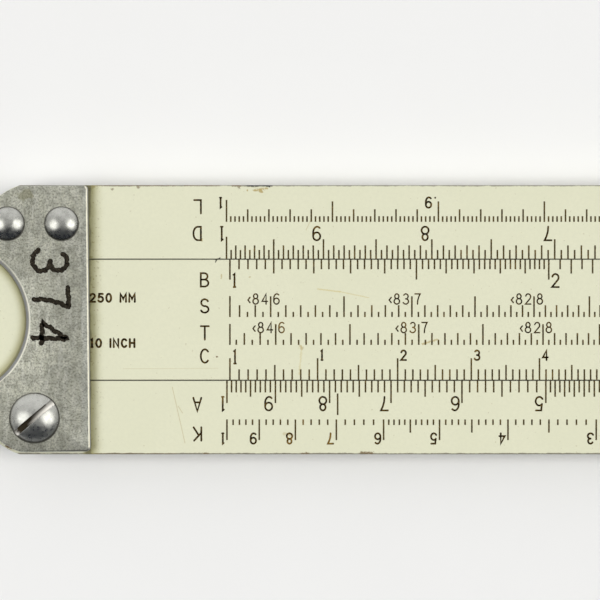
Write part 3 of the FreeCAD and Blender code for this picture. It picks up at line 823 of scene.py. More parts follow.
def angle_scale(ratio, text_y, last):
    """Ticks and double labels of a sine or tangent scale, which reads 10 x ratio(angle) against C.

    A label has the complement of the angle on the left of its tick and the angle on the right."""
    sines = last == 90
    steps = [(5.75, 10, (0.05, 0.1, 0.5)), (10, 20, (0.1, 0.5, 1)), (20, 30, (0.2, 1, 5))]
    steps.append((30, min(60, last), (0.5, 1, 5)))
    if sines:
        steps += [(60, 80, (1, 5, 10)), (80, 90, (5, 10))]
    parts = [(start, stop, list(zip(step, ANGLE_TICKS[-len(step) :]))) for start, stop, step in steps]
    values, length = join_ladders(parts)
    lowest = math.degrees(math.asin(0.1) if sines else math.atan(0.1))
    keep = values > lowest + 0.02
    values = np.concatenate([[lowest], values[keep], [last]])
    length = np.concatenate([[ANGLE_INDEX], length[keep], [ANGLE_INDEX]])
    labels = []
    for angle in NAMED_ANGLES:
        if angle > last or (sines and angle in (35, 45)):
            continue
        x = log_place(10 * ratio(math.radians(angle)))
        labels.append(beside(str(angle), x, text_y, ANGLE_HIGH, ANGLE_PEN, gap=0.37))
        if angle < 45:
            left = f"<{90 - angle}"
            left_x = x - 0.38 - text_wide(left, ANGLE_HIGH)
            labels.append((left, left_x, text_y, ANGLE_HIGH, ANGLE_PEN))
    return log_place(10 * ratio(np.radians(values))), length, labels


# S, sines of 5.7 to 90 degrees, and T, tangents of 5.7 to 45 degrees, along the slide's middle
for letter, ratio, base, text_y, last, letter_y in (
    ("S", np.sin, 0.32, 1.85, 90, 0.84),
    ("T", np.tan, -2.97, -1.52, 45, -2.34),
):
    x, length, labels = angle_scale(ratio, text_y, last)
    print_scale(letter, x, base, length, labels, letter_y, "slide")

# The gauge mark for round sections on A, a detached line, and two plain notes of the scales' length
quarter_pi = np.array([10, 100]) * math.pi / 4
gauge = tick_points(log_place(quarter_pi, 2), 8.70, 2.55, TICK_WIDE, FACE_Z)
gauge_marks = add_piece("gauge_marks", joined_mesh("gauge_marks", [many_boxes(gauge)], True), tick_ink)
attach(gauge_marks, "adjustable_stator")

NOTE_HIGH, NOTE_PEN = 0.93, 0.245
parts = text_parts("250 MM", -141.08, 2.12, NOTE_HIGH, NOTE_PEN, SLIDE_FACE_Z, 0.42, 1.0)
parts += text_parts("10 INCH", -140.98, -3.22, NOTE_HIGH, NOTE_PEN, SLIDE_FACE_Z, 0.42, 1.0)
notes = add_piece("scale_length_notes", joined_mesh("scale_length_notes", parts), letter_ink)
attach(notes, "slide")


# ------------------------------------------------------------------------------------------------
# End brackets. Four C-shaped plates punched from aluminium sheet, tumbled, then bevelled round the
# thumb notch. Two lie on the face and two behind, each riveted on a little off square. The left
# one on the face has an owner's number on it in felt marker.
# ------------------------------------------------------------------------------------------------
BRACKET_ROUND = 7.05 * MM
BRACKET_HALF = 15.65 * MM
BRACKET_SHIFT = 0.1 * MM
BRACKET_CORNER = 0.5 * MM

# the rim's profile from the seat up, in mm: how far in, how high, how much polish and painted
# highlight, and the notch's radius
BRACKET_RIM = (
    (0.03, 0, 0, 8.83),
    (0, 0.05, 0, 8.8),
    (0, 0.25, 0, 8.8),
    (0, 0.98, 0, 9.14),
    (0.03, 1.08, 0.4, 9.17),
    (0.05, 1.11, 1, 9.19),
    (0.17, 1.17, 1, 9.33),
    (0.22, 1.2, 0, 9.38),
)
HORN_TIP = 0.25 * MM
BRACKET_TILT = {"front_left": 0.6, "front_right": -0.25, "back_left": -0.3, "back_right": 0.2}
SCREW_HOLE = {"front": 1.15 * MM, "back": 1.75 * MM}
HEADS = [(x, RIVET_Y, 1.95 * MM) for x in RIVET_X if x > 0] + [(SCREW_X, SCREW_Y, 2.9 * MM)]


def bracket_ring(inset, notch):
    """The outline of a right-hand bracket, anticlockwise, with its edge moved in by inset and its
    notch at this radius: arcs joined by straight lines. The notch isn't shifted with the rest."""
    near = BRACKET_INNER_X + BRACKET_CORNER
    far = BRACKET_HALF - BRACKET_CORNER
    corner = BRACKET_CORNER - inset
    big = BRACKET_ROUND - inset
    rise = math.degrees(math.asin((BRACKET_HALF - inset - END_ROUND_Y) / big))
    tip = max(HORN_TIP - inset, 0.01 * MM)
    tip_x = END_ROUND_X + BRACKET_ROUND - HORN_TIP
    tip_y = math.sqrt((notch + tip) ** 2 - (NOTCH_X - tip_x) ** 2)
    turn = math.degrees(math.atan2(tip_y, NOTCH_X - tip_x))
    shift = (0, BRACKET_SHIFT)
    return np.concatenate(
        [
            arc(END_ROUND_X, -END_ROUND_Y, big, -rise, 0, 30) + shift,
            arc(tip_x, -tip_y, tip, 0, turn, 6),
            arc(NOTCH_X, 0, notch, 180 + turn, 180 - turn, 90)[1:-1],
            arc(tip_x, tip_y, tip, -turn, 0, 6),
            arc(END_ROUND_X, END_ROUND_Y, big, 0, rise, 30) + shift,
            arc(near, far, corner, 90, 180, 8) + shift,
            arc(near, -far, corner, 180, 270, 8) + shift,
        ]
    )


def bracket_mesh(name, side, front, tilt):
    """A bracket: rings that follow the rim's rounded profile and the notch's slope, mirrored to its
    end of the rule, turned over if it is behind, and turned a little about its fixings. Its
    rubbed_and_highlit_edge attribute is 1 on the rim beside the scales and round the notch, where
    handling has polished it and where its colour carries a painted highlight, and painted shade at
    its lower corner, and sheared_wall is 1 on the punched wall under the rim."""
    low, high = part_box(name)
    rings = []
    for inset, height, _, notch in BRACKET_RIM:
        flat = bracket_ring(inset * MM, notch * MM)
        level = low.z + height * MM if front else high.z - height * MM
        rings.append(np.column_stack([flat, np.full(len(flat), level)]))
    rings = np.array(rings) * (side, 1, 1)
    rings = rings if front else rings[::-1]
    rings = rings if side > 0 else rings[:, ::-1]
    centre = np.array((side * SCREW_X, 0))
    c, s = math.cos(math.radians(tilt)), math.sin(math.radians(tilt))
    rings[:, :, :2] = (rings[:, :, :2] - centre) @ np.array(((c, s), (-s, c))) + centre
    holes = [(x, RIVET_Y, RIVET_HOLE) for x in RIVET_X if x * side > 0]
    holes.append((side * SCREW_X, SCREW_Y, SCREW_HOLE["front" if front else "back"]))
    mesh = solid_from_rings(name, rings, holes)
    _, heights, polish_and_highlight, notches = np.array(BRACKET_RIM).T
    points = np.zeros(len(mesh.vertices) * 3)
    mesh.vertices.foreach_get("co", points)
    level = points[2::3] - low.z if front else high.z - points[2::3]
    inner_edge = np.abs(points[0::3]) < BRACKET_INNER_X + BRACKET_CORNER
    from_notch = np.hypot(np.abs(points[0::3]) - NOTCH_X, points[1::3])
    handled = np.maximum(inner_edge, from_notch < (notches[-1] + 0.02) * MM)
    rub = np.interp(level / MM, heights, polish_and_highlight) * handled
    sheared = np.interp(level / MM, heights[3:5], (1, 0))
    mesh.attributes.new("rubbed_and_highlit_edge", "FLOAT", "POINT").data.foreach_set("value", rub)
    mesh.attributes.new("sheared_wall", "FLOAT", "POINT").data.foreach_set("value", sheared)
    return mesh


def bracket_metal(name, marks):
    """Tumbled aluminium: cloudy tarnish, faint streaks, a fine pitted grain, blots, a darker burnished
    strip along the edge that faces the scales, and this list of marks."""
    material, tree, shader, place = new_material(name, {"Metallic": 0.6})
    cloud = patches(tree, place, 260.0, 0.34, 0.66, detail=4.0, rough=0.6)
    colour = blend_colour(tree, cloud, (0.48, 0.48, 0.402, 1), (0.63, 0.63, 0.522, 1))
    streak = patches(tree, place, 1900.0, 0.36, 0.7, detail=4.0, stretch=(1, 0.2, 1))
    colour = stain(tree, colour, streak, 0.5, (0.82, 0.82, 0.74, 1))
    pits = patches(tree, place, 4200.0, 0.4, 0.68, detail=3.0, rough=0.7)
    colour = stain(tree, colour, pits, 0.72, (0.17, 0.17, 0.14, 1))
    blots = patches(tree, place, 820.0, 0.42, 0.68, detail=5.0, rough=0.68)
    colour = stain(tree, colour, blots, 0.52, (0.19, 0.19, 0.155, 1))
    axes = node(tree, "ShaderNodeSeparateXYZ", [(0, place)])
    along = maths(tree, "ABSOLUTE", axes.outputs["X"])
    strip = spread(tree, along, BRACKET_INNER_X + 1.2 * MM, BRACKET_INNER_X + 0.35 * MM)
    colour = stain(tree, colour, strip, 0.3, (0.27, 0.29, 0.29, 1))
    for number, (start, end, width, tone, amount, ragged) in enumerate(marks):
        shape = mark(tree, place, start, end, width, ragged, 0.41 * number + 0.2)
        colour = stain(tree, colour, shape, amount, tone)

    # dirt and painted shade in the corner round each head, set off towards the shaded side
    for x, y, radius in HEADS:
        away = away_from(tree, place, x - 0.04 * MM, y - 0.03 * MM)
        ring = maths(tree, "ADD", away, times(tree, blots, 0.05 * MM))
        dirt = spread(tree, ring, radius + 0.16 * MM, radius + 0.06 * MM)
        colour = stain(tree, colour, dirt, 0.9, (0.045, 0.042, 0.035, 1))

    # the rim: polished where thumbs and the slide's drawing have rubbed it, with a painted highlight
    # that is brightest round the notch, and painted shade on its stretch at the lower corner
    rim = node(tree, "ShaderNodeAttribute", attribute_name="rubbed_and_highlit_edge").outputs["Fac"]
    wall = node(tree, "ShaderNodeAttribute", attribute_name="sheared_wall").outputs["Fac"]
    polished = spread(tree, along, BRACKET_INNER_X + 0.7 * MM, BRACKET_INNER_X + 0.5 * MM)
    polished = times(tree, polished, spread(tree, axes.outputs["Y"], -15.3 * MM, -14.9 * MM))
    rim_highlight_and_shade_tone = blend_colour(tree, polished, (0.17, 0.17, 0.15, 1), (0.96, 0.93, 0.77, 1))
    by_notch = spread(tree, away_from(tree, place, NOTCH_X, 0), 9.9 * MM, 9.7 * MM)
    rim_highlight_and_shade_tone = blend_colour(tree, by_notch, rim_highlight_and_shade_tone, (1.0, 0.98, 0.86, 1))
    colour = stain(tree, colour, wall, 0.9, (0.38, 0.39, 0.47, 1))
    colour = stain(tree, colour, rim, 0.9, rim_highlight_and_shade_tone)
    tint(tree, shader, colour)
    rough = maths(tree, "SUBTRACT", spread(tree, pits, 0, 1, 0.42, 0.62), times(tree, rim, 0.1))
    tree.links.new(rough, shader.inputs["Roughness"])
    bump(tree, shader, grain(tree, place, 3600.0, detail=4.0, rough=0.65), 0.012 * MM)
    return material


OLIVE = (0.22, 0.21, 0.11, 1)
front_left_marks = [
    ((-149.0, 14.6), (-148.2, 15.1), 1.8, OLIVE, 0.5, 0.9),
    ((-152.6, 10.2), (-152.2, 13.4), 0.9, OLIVE, 0.3, 0.9),
    ((-147.75, 13.4), (-147.8, 11.9), 0.2, (0.78, 0.78, 0.72, 1), 0.5, 0.4),
    ((-142.0, 0.9), (-141.9, -1.9), 0.25, (0.75, 0.75, 0.7, 1), 0.35, 0.7),
    ((-144.5, -2.8), (-144.6, -5.6), 0.7, (0.72, 0.72, 0.66, 1), 0.35, 0.9),
    ((-146.2, -7.3), (-146.4, -8.2), 0.5, (0.72, 0.72, 0.66, 1), 0.3, 0.9),
    ((-143.4, 6.4), (-143.0, 6.0), 0.9, (0.30, 0.30, 0.25, 1), 0.3, 0.9),
]
bracket_finishes = {
    "front_left": bracket_metal("bracket_metal_marked", front_left_marks),
    "plain": bracket_metal("bracket_metal", []),
}
for place_name, tilt in BRACKET_TILT.items():
    layer, end = place_name.split("_")
    cad_node = f"{layer}_bracket_{end}"
    mesh = bracket_mesh(cad_node, -1 if end == "left" else 1, layer == "front", tilt)
    finish = bracket_finishes.get(place_name, bracket_finishes["plain"])
    bracket = add_piece(f"{cad_node}_bevelled", mesh, finish, sharp=35.0)
    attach(bracket, "body")
    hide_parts(cad_node)

MARKER_HIGH, MARKER_PEN = 4.1, 0.55
MARKER_X = -147.75
settings = {"Roughness": 0.6, "Specular IOR Level": 0.1}
marker_ink, tree, shader, place = new_material("felt_marker", settings)
thin = patches(tree, place, 5200.0, 0.48, 0.72, 0.0, 0.8, detail=3.0, rough=0.7)
marker_tone = blend_colour(tree, thin, (0.016, 0.013, 0.009, 1), (0.075, 0.062, 0.042, 1))
tint(tree, shader, marker_tone)
bracket_low, bracket_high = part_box("front_bracket_left")

# each digit's strokes, drawn as even steps along the pen's path, shaken a little by hand, leaned and
# turned to run down the bracket
parts = []
for digit, top_y, lean in (("3", 8.15, -3.0), ("7", 3.55, 4.0), ("4", -0.3, -2.0)):
    for layer, stroke in enumerate(UNIT_STROKES[digit]):
        path = pen_path(stroke)
        reach = np.concatenate([[0], np.cumsum(np.linalg.norm(np.diff(path, axis=0), axis=1))])
        even = np.linspace(0, reach[-1], int(reach[-1] * 26) + 2)
        path = np.stack([np.interp(even, reach, path[:, i]) for i in (0, 1)], axis=1)
        path[1:-1] = (path[:-2] + path[1:-1] + path[2:]) / 3
        shake = 0.012 * np.sin(even * 23 + top_y) + 0.009 * np.sin(even * 51 + 2 * top_y)
        path = path + np.stack([shake, np.roll(shake, 3)], axis=1)
        c, s = math.cos(math.radians(lean)), math.sin(math.radians(lean))
        path = path @ np.array(((c, s), (-s, c))) * MARKER_HIGH
        path = np.stack([MARKER_X + path[:, 1], top_y - path[:, 0]], axis=1) * MM
        pen = MARKER_PEN * (1 + 0.11 * np.sin(even * 37 + top_y) + 0.09 * np.sin(even * 83)) * MM
        parts.append(ribbon(path, pen, bracket_high.z, bracket_high.z + INK_HIGH * (1 + 0.15 * layer)))
owners_number = add_piece("owners_number", joined_mesh("owners_number", parts), marker_ink)
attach(owners_number, "body")


# ------------------------------------------------------------------------------------------------
# Rivets. Solid aluminium, two at each end of the +Y stator: a domed head on the face, set by a
# hollow punch that left it slightly dinted, and a tail hammered flat behind.
# ------------------------------------------------------------------------------------------------
RIVET_HEAD, RIVET_DOME = 1.95 * MM, 0.78 * MM
RIVET_SHANK = 1.2 * MM
RIVET_TAIL, RIVET_TAIL_BREAK = 1.75 * MM, 0.15 * MM


def dome_height(radius, head, dome):
    """Height over its seat of a spherical cap this wide and high, at a distance from its middle."""
    ball = (head * head + dome * dome) / (2 * dome)
    return np.sqrt(np.maximum(ball * ball - radius * radius, 0)) - ball + dome


def turned_rings(x, y, profile, steps=72):
    """Rings of a round piece: a profile of (radius, height) points carried round a line along Z."""
    radius, height = np.array(profile).T
    turn = np.linspace(0, 2 * math.pi, steps, endpoint=False)
    flat = radius[:, None, None] * np.stack([np.cos(turn), np.sin(turn)], axis=1)[None] + (x, y)
    return np.concatenate([flat, np.broadcast_to(height[:, None, None], flat.shape[:2] + (1,))], axis=2)


def turned_metal(name, tone, dark, rough, dint):
    """Polished metal that has dulled: cloudy tarnish, small pits, fine rubbing and shallow dints."""
    material, tree, shader, place = new_material(name)
    cloud = patches(tree, place, 1100.0, 0.42, 0.66, detail=4.0, rough=0.65)
    colour = stain(tree, tone, cloud, 0.45, dark)
    pits = patches(tree, place, 6500.0, 0.62, 0.7, detail=2.0)
    colour = stain(tree, colour, pits, 0.3, (0.16, 0.15, 0.13, 1))

    # painted contact shade and dirt: a thin dark outline round the foot of each head
    for x, y, radius in HEADS:
        away = away_from(tree, place, x - 0.05 * MM, y + 0.05 * MM)
        limits = [radius + d * MM for d in (-0.22, 0.02, 0.2, 0.3)]
        colour = blend_colour(tree, band(tree, away, *limits, 0.8), colour, (0.06, 0.057, 0.05, 1))

    # the slot: unplated pale floor, then dirt caked over it at one end and painted shade along one
    # wall, which are dark, rough and without shine
    sawn = node(tree, "ShaderNodeAttribute", attribute_name="slot_floor").outputs["Fac"]
    colour = blend_colour(tree, sawn, colour, (0.97, 0.94, 0.87, 1))
    tree.links.new(spread(tree, sawn, 0, 1, 1.0, 0.0), shader.inputs["Metallic"])
    caked_dirt_and_shade = node(tree, "ShaderNodeAttribute", attribute_name="slot_dirt_and_shade").outputs["Fac"]
    colour = blend_colour(tree, caked_dirt_and_shade, colour, (0.035, 0.028, 0.018, 1))
    tint(tree, shader, colour)
    dull = patches(tree, place, 2300.0, 0.3, 0.7, rough, rough + 0.13, detail=3.0)
    dull = maths(tree, "ADD", dull, times(tree, caked_dirt_and_shade, 0.6))
    tree.links.new(dull, shader.inputs["Roughness"])
    tree.links.new(spread(tree, caked_dirt_and_shade, 0, 1, 0.5, 0.0), shader.inputs["Specular IOR Level"])
    bump(tree, shader, grain(tree, place, 1300.0, detail=3.0, rough=0.6), dint)
    return material


rivet_metal = turned_metal("rivet_metal", (0.70, 0.70, 0.66, 1), (0.36, 0.36, 0.33, 1), 0.22, 0.012 * MM)
for end in ("left", "right"):
    for spot in ("outer", "inner"):
        cad_node = f"rivet_{end}_{spot}"
        low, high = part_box(cad_node)
        x, y = (low.x + high.x) / 2, (low.y + high.y) / 2
        seat = high.z - RIVET_DOME
        tail_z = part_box(f"back_bracket_{end}")[0].z
        reach = RIVET_HEAD * np.sin(np.radians(np.linspace(90, 0, 15)))
        cap = [(r, seat + dome_height(r, RIVET_HEAD, RIVET_DOME)) for r in reach]
        profile = [
            (0, low.z),
            (RIVET_TAIL - 2.2 * RIVET_TAIL_BREAK, low.z),
            (RIVET_TAIL - RIVET_TAIL_BREAK, low.z + 0.2 * RIVET_TAIL_BREAK),
            (RIVET_TAIL, low.z + RIVET_TAIL_BREAK),
            (RIVET_TAIL, tail_z),
            (RIVET_SHANK, tail_z),
            (RIVET_SHANK, seat),
        ] + cap
        mesh = solid_from_rings(cad_node, turned_rings(x, y, profile))
        rivet = add_piece(f"{cad_node}_set", mesh, rivet_metal, sharp=35.0)
        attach(rivet, "body")
        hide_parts(cad_node)


# ------------------------------------------------------------------------------------------------
# Tension screws and posts. Nickel-plated brass. A slotted round-head screw goes down through the
# front bracket and the -Y stator into a flanged, internally threaded post that is slotted behind,
# and the pair clamps that stator where it has been set.
# ------------------------------------------------------------------------------------------------
TENSION_HEAD, TENSION_DOME = 2.9 * MM, 1.25 * MM
TENSION_SHANK = 1.05 * MM
TENSION_SLOT_ANGLES = {"left": 40.0, "right": 118.0}
SLOT_HALF, SLOT_DEEP = 0.36 * MM, 0.72 * MM
SLOT_BREAK = 0.04 * MM
POST_BREAK, POST_BARREL, POST_BORE = 0.2 * MM, 1.7 * MM, 1.1 * MM
POST_SLOT_DEEP = 0.3 * MM
POST_BORE_END = 0.6 * MM  # under the bracket
SCREW_POINT, SCREW_POINT_LONG = 0.85 * MM, 0.2 * MM
SLOT_ROWS = np.array([-1, -0.6, 0.1, 1])  # across the slot's floor, in half widths
# painted shade and dirt across the slot's floor, darkest along one wall
SLOT_ROW_SHADE_AND_DIRT = (0.2, 0, 0.5, 1)
DIRTY_LENGTH = (-0.92, -0.8, -0.4, -0.1, 0.35)  # along the slot, in radii of the head
DIRTY_AMOUNT = (0, 1, 1, 0.45, 0)


def slotted_mesh(name, x, y, seat, facing, radius, height, slot, angle, below):
    """A round head with a screwdriver slot, on its stem. Its slot_dirt_and_shade attribute is 1 where
    dirt has caked in at one end of the slot and painted shade darkens it along one wall, and
    slot_floor is 1 on the sawn floor.

    The head is a grid: rows straight along the slot, each from rim to rim, at a distance v from the
    middle, so that rows can lie exactly on the slot's edges. height(r) is the head's profile, and
    slot is (half width, floor height, reach of the floor). facing is 1 for a head on the face and -1
    for one behind. Rings of (radius, height) under the rim carry the shape on down its stem."""
    half, floor, reach = slot
    side = np.sin(np.radians(np.linspace(0, 90, 14)))
    outer = half + SLOT_BREAK + (radius - half - SLOT_BREAK) * side
    rows = np.concatenate([-outer[::-1], [-half], half * SLOT_ROWS, [half], outer])
    first_edge = len(outer)
    last_edge = first_edge + len(SLOT_ROWS) + 1
    deep = np.zeros(len(rows), bool)
    deep[first_edge + 1 : last_edge] = True
    edge = np.zeros(len(rows), bool)
    edge[[first_edge, last_edge]] = True
    across = np.sin(np.radians(np.linspace(-90, 90, 37)))
    span = np.where(deep, reach, radius)
    u = np.sqrt(np.maximum(span**2 - rows**2, 0))[:, None] * across[None]
    v = np.broadcast_to(rows[:, None], u.shape)
    top = height(np.hypot(u, v))
    z = np.where(deep[:, None], np.minimum(top, floor), top - np.where(edge[:, None], SLOT_BREAK, 0))
    z = np.where(edge[:, None], np.maximum(z, np.minimum(top, floor)), z)
    grid = np.stack([u, v, z], axis=2)
    count, wide = u.shape
    i, j = np.meshgrid(np.arange(count - 1), np.arange(wide - 1), indexing="ij")
    here = i * wide + j
    faces = np.stack([here, here + 1, here + wide + 1, here + wide], axis=-1).reshape(-1, 4).tolist()
    rim = np.concatenate([np.arange(count) * wide + wide - 1, np.arange(count)[::-1] * wide])
    points = grid.reshape(-1, 3)
    direction = points[rim, :2] / np.linalg.norm(points[rim, :2], axis=1, keepdims=True)
    last = rim
    for ring_radius, level in below:
        ring = np.column_stack([direction * ring_radius, np.full(len(rim), level)])
        here = len(points) + np.arange(len(rim))
        points = np.concatenate([points, ring])
        wall = np.stack([here, np.roll(here, -1), np.roll(last, -1), last], axis=1)
        faces += wall.tolist()
        last = here
    faces.append(last[::-1].tolist())
    c, s = math.cos(math.radians(angle)), math.sin(math.radians(angle))
    points[:, :2] = points[:, :2] @ np.array(((c, s), (-s, c))) + (x, y)
    points[:, 2] = seat + facing * points[:, 2]
    mesh = bpy.data.meshes.new(name)
    mesh.from_pydata(points.tolist(), [], faces)
    caked_dirt_and_shade = np.where(deep, np.interp(rows, half * SLOT_ROWS, SLOT_ROW_SHADE_AND_DIRT), 0)
    caked_dirt_and_shade[last_edge] = 0.5
    caked_dirt_and_shade = caked_dirt_and_shade[:, None] + deep[:, None] * np.interp(u / radius, DIRTY_LENGTH, DIRTY_AMOUNT)
    dirt = np.concatenate([np.minimum(caked_dirt_and_shade, 1).ravel(), np.zeros(len(points) - caked_dirt_and_shade.size)])
    mesh.attributes.new("slot_dirt_and_shade", "FLOAT", "POINT").data.foreach_set("value", dirt)
    floor_points = np.zeros(len(points))
    floor_points[: caked_dirt_and_shade.size] = np.repeat(deep, wide)
    mesh.attributes.new("slot_floor", "FLOAT", "POINT").data.foreach_set("value", floor_points)
    return closed(mesh)


screw_metal = turned_metal("screw_nickel", (0.74, 0.74, 0.70, 1), (0.50, 0.50, 0.47, 1), 0.25, 0.003 * MM)
for end in ("left", "right"):
    cad_node = f"tension_screw_{end}"
    low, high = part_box(cad_node)
    x, y = (low.x + high.x) / 2, (low.y + high.y) / 2
    seat = high.z - TENSION_DOME
    cap = lambda r: dome_height(r, TENSION_HEAD, TENSION_DOME)
    slot = (SLOT_HALF, TENSION_DOME - SLOT_DEEP, TENSION_HEAD)
    tip = low.z - seat
    stem = [(TENSION_SHANK, 0), (TENSION_SHANK, tip + SCREW_POINT_LONG), (SCREW_POINT, tip)]
    angle = TENSION_SLOT_ANGLES[end]
    mesh = slotted_mesh(cad_node, x, y, seat, 1, TENSION_HEAD, cap, slot, angle, stem)
    screw = add_piece(f"{cad_node}_slotted", mesh, screw_metal, sharp=25.0)
    cad_post = f"screw_post_{end}"
    low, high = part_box(cad_post)
    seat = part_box(f"back_bracket_{end}")[0].z
    flange = seat - low.z
    flat = lambda r: flange - np.maximum(0, r - TENSION_HEAD + POST_BREAK)
    slot = (SLOT_HALF, flange - POST_SLOT_DEEP, TENSION_HEAD)
    top = seat - high.z
    barrel = [(TENSION_HEAD, 0), (POST_BARREL, 0), (POST_BARREL, top)]
    barrel += [(POST_BORE, top), (POST_BORE, -POST_BORE_END)]
    mesh = slotted_mesh(cad_post, x, y, seat, -1, TENSION_HEAD, flat, slot, 0.0, barrel)
    post = add_piece(f"{cad_post}_slotted", mesh, screw_metal, sharp=25.0)
    for piece, replaced in ((screw, cad_node), (post, cad_post)):
        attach(piece, "body")
        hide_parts(replaced)


# ------------------------------------------------------------------------------------------------
# Cursor. Two clear acrylic windows screwed to ivory nylon bars that run on the body's two edges.
# The front one has the hairline scored in its inner face and filled with red-brown paint. A bowed
# strip of spring steel in one bar's pocket presses on the stator and holds the cursor still.
# ------------------------------------------------------------------------------------------------
WINDOW_CORNER, WINDOW_BREAK = 1.2 * MM, 0.3 * MM
CURSOR_HOLE = 0.8 * MM
CURSOR_SINK, CURSOR_SINK_DEEP = 1.25 * MM, 0.6 * MM
BAR_ROUND = 0.9 * MM
HAIRLINE_WIDE, HAIRLINE_DEEP, HAIRLINE_HALF = 0.12 * MM, 0.08 * MM, 17.0 * MM
SPRING_STRIP, SPRING_HALF = 0.2 * MM, 12.5 * MM
POCKET_HALF, POCKET_DEEP, POCKET_HALF_HIGH = 13.25 * MM, 0.98 * MM, 1.4 * MM
CURSOR_HEAD, CURSOR_DOME, CURSOR_SHANK = 1.2 * MM, 0.6 * MM, 0.75 * MM
CURSOR_SLOT_HALF, CURSOR_SLOT_DEEP = 0.15 * MM, 0.28 * MM
CURSOR_SLOT_TURN = 67.0
CURSOR_POINT, CURSOR_POINT_LONG = 0.6 * MM, 0.1 * MM
BAR_BREAK = 0.05 * MM

window_low, window_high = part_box("cursor_window_front")
CURSOR_X = (window_low.x + window_high.x) / 2
cursor_screws = []
for number in range(1, 5):
    low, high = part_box(f"cursor_screw_front_{number}")
    cursor_screws.append(((low.x + high.x) / 2, (low.y + high.y) / 2))


def rounded_rectangle(low, high, radii, steps=10):
    """A rectangle's outline, anticlockwise from its lower left corner, with a radius at each corner."""
    corners = [(low.x, low.y, 1, 1), (high.x, low.y, -1, 1)]
    corners += [(high.x, high.y, -1, -1), (low.x, high.y, 1, -1)]
    loop = []
    for (x, y, dx, dy), radius, start in zip(corners, radii, (180, 270, 360, 450)):
        if radius > 0:
            loop.append(arc(x + dx * radius, y + dy * radius, radius, start, start + 90, steps))
        else:
            loop.append(np.array([(x, y)]))
    return np.concatenate(loop)


settings = {"IOR": 1.49, "Transmission Weight": 1.0, "Alpha": 0.3}
acrylic, tree, shader, place = new_material("clear_acrylic", settings)
haze = patches(tree, place, 300.0, 0.4, 0.75, 0.01, 0.07, detail=4.0)
rub = grain(tree, place, 1500.0, detail=2.0, stretch=(1, 0.03, 1))
rub = spread(tree, rub, 0.62, 0.72, 0.0, 0.08)
tree.links.new(maths(tree, "ADD", haze, rub), shader.inputs["Roughness"])
clear_tone = blend_colour(tree, haze, (0.985, 0.985, 0.97, 1), (0.93, 0.93, 0.88, 1))
tint(tree, shader, clear_tone)
bump(tree, shader, grain(tree, place, 60.0, detail=2.0), 0.02 * MM)

settings = {"Roughness": 0.38, "Subsurface Weight": 0.12}
settings["Subsurface Radius"] = (0.6 * MM, 0.5 * MM, 0.35 * MM)
nylon, tree, shader, place = new_material("ivory_nylon", settings)
yellowing = patches(tree, place, 240.0, 0.35, 0.7, detail=4.0)
nylon_tone = blend_colour(tree, yellowing, (0.80, 0.77, 0.66, 1), (0.74, 0.69, 0.54, 1))
dirt = patches(tree, place, 1900.0, 0.62, 0.78, 0.0, 0.5, detail=4.0, rough=0.7)
nylon_tone = blend_colour(tree, dirt, nylon_tone, (0.3, 0.26, 0.18, 1))
tint(tree, shader, nylon_tone)
bump(tree, shader, grain(tree, place, 1200.0, detail=3.0), 0.012 * MM)

# Windows: rings give the front one its bevelled rim and the back one its countersunk holes.
windows = []
for word, made, break_low, break_high, bore in (
    ("front", "bevelled", 0.06 * MM, WINDOW_BREAK, CURSOR_HOLE),
    ("back", "countersunk", 0.15 * MM, 0.06 * MM, (CURSOR_SINK, CURSOR_SINK_DEEP, CURSOR_HOLE)),
):
    cad_node = f"cursor_window_{word}"
    low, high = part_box(cad_node)
    outline = rounded_rectangle(low, high, [WINDOW_CORNER] * 4)
    height = [low.z, low.z + break_low, high.z - break_high, high.z]
    holes = [(x, y, bore) for x, y in cursor_screws]
    mesh = plate_mesh(cad_node, outline, [break_low, 0, 0, break_high], height, holes)
    windows.append((add_piece(f"{cad_node}_{made}", mesh, acrylic), cad_node, "window_acrylic"))

# Hairline: the paint in the scored line, a sliver proud of the window's inner face.
hairline_paint, tree, shader, place = new_material("hairline_paint", {"Roughness": 0.5})
paint_gaps = patches(tree, place, 2600.0, 0.6, 0.75, detail=3.0)
paint_tone = blend_colour(tree, paint_gaps, (0.09, 0.012, 0.01, 1), (0.2, 0.05, 0.04, 1))
tint(tree, shader, paint_tone)
foot = window_low.z - 0.004 * MM
score = np.stack([np.full(9, CURSOR_X), np.linspace(-HAIRLINE_HALF, HAIRLINE_HALF, 9)], axis=1)
mesh = joined_mesh("cursor_hairline", [ribbon(score, HAIRLINE_WIDE, foot, window_low.z + HAIRLINE_DEEP)])
hairline = add_piece("cursor_hairline", mesh, hairline_paint)

# Bars: square towards the body and rounded outside; the sprung one has the spring's pocket.
bars = {}
for word, side in (("sprung", 1), ("plain", -1)):
    cad_node = f"cursor_bar_{word}"
    low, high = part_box(cad_node)
    inner_y, outer_y = sorted((abs(low.y), abs(high.y)))
    near, far = Vector((low.x, inner_y, 0)), Vector((high.x, outer_y, 0))
    outline = rounded_rectangle(near, far, [0, 0, BAR_ROUND, BAR_ROUND])
    pocket_x = np.array([-POCKET_HALF - SHEER, -POCKET_HALF, POCKET_HALF, POCKET_HALF + SHEER]) + CURSOR_X
    outline = np.concatenate([outline[:1], np.stack([pocket_x, np.full(4, inner_y)], axis=1), outline[1:]])
    pocket = np.zeros(len(outline))
    if word == "sprung":
        pocket[2:4] = POCKET_DEEP
    middle = (low.z + high.z) / 2
    inset = [BAR_BREAK, 0, 0, pocket, pocket, 0, 0, BAR_BREAK]
    floor, roof = middle - POCKET_HALF_HIGH, middle + POCKET_HALF_HIGH
    height = [low.z, low.z + BAR_BREAK, floor - SHEER, floor, roof, roof + SHEER, high.z - BAR_BREAK, high.z]
    if side < 0:
        outline = outline[::-1] * (1, -1)
    holes = [(x, y, CURSOR_HOLE) for x, y in cursor_screws if y * side > 0]
    mesh = plate_mesh(cad_node, outline, inset, height, holes)
    bars[cad_node] = add_piece(f"{cad_node}_moulded", mesh, nylon)

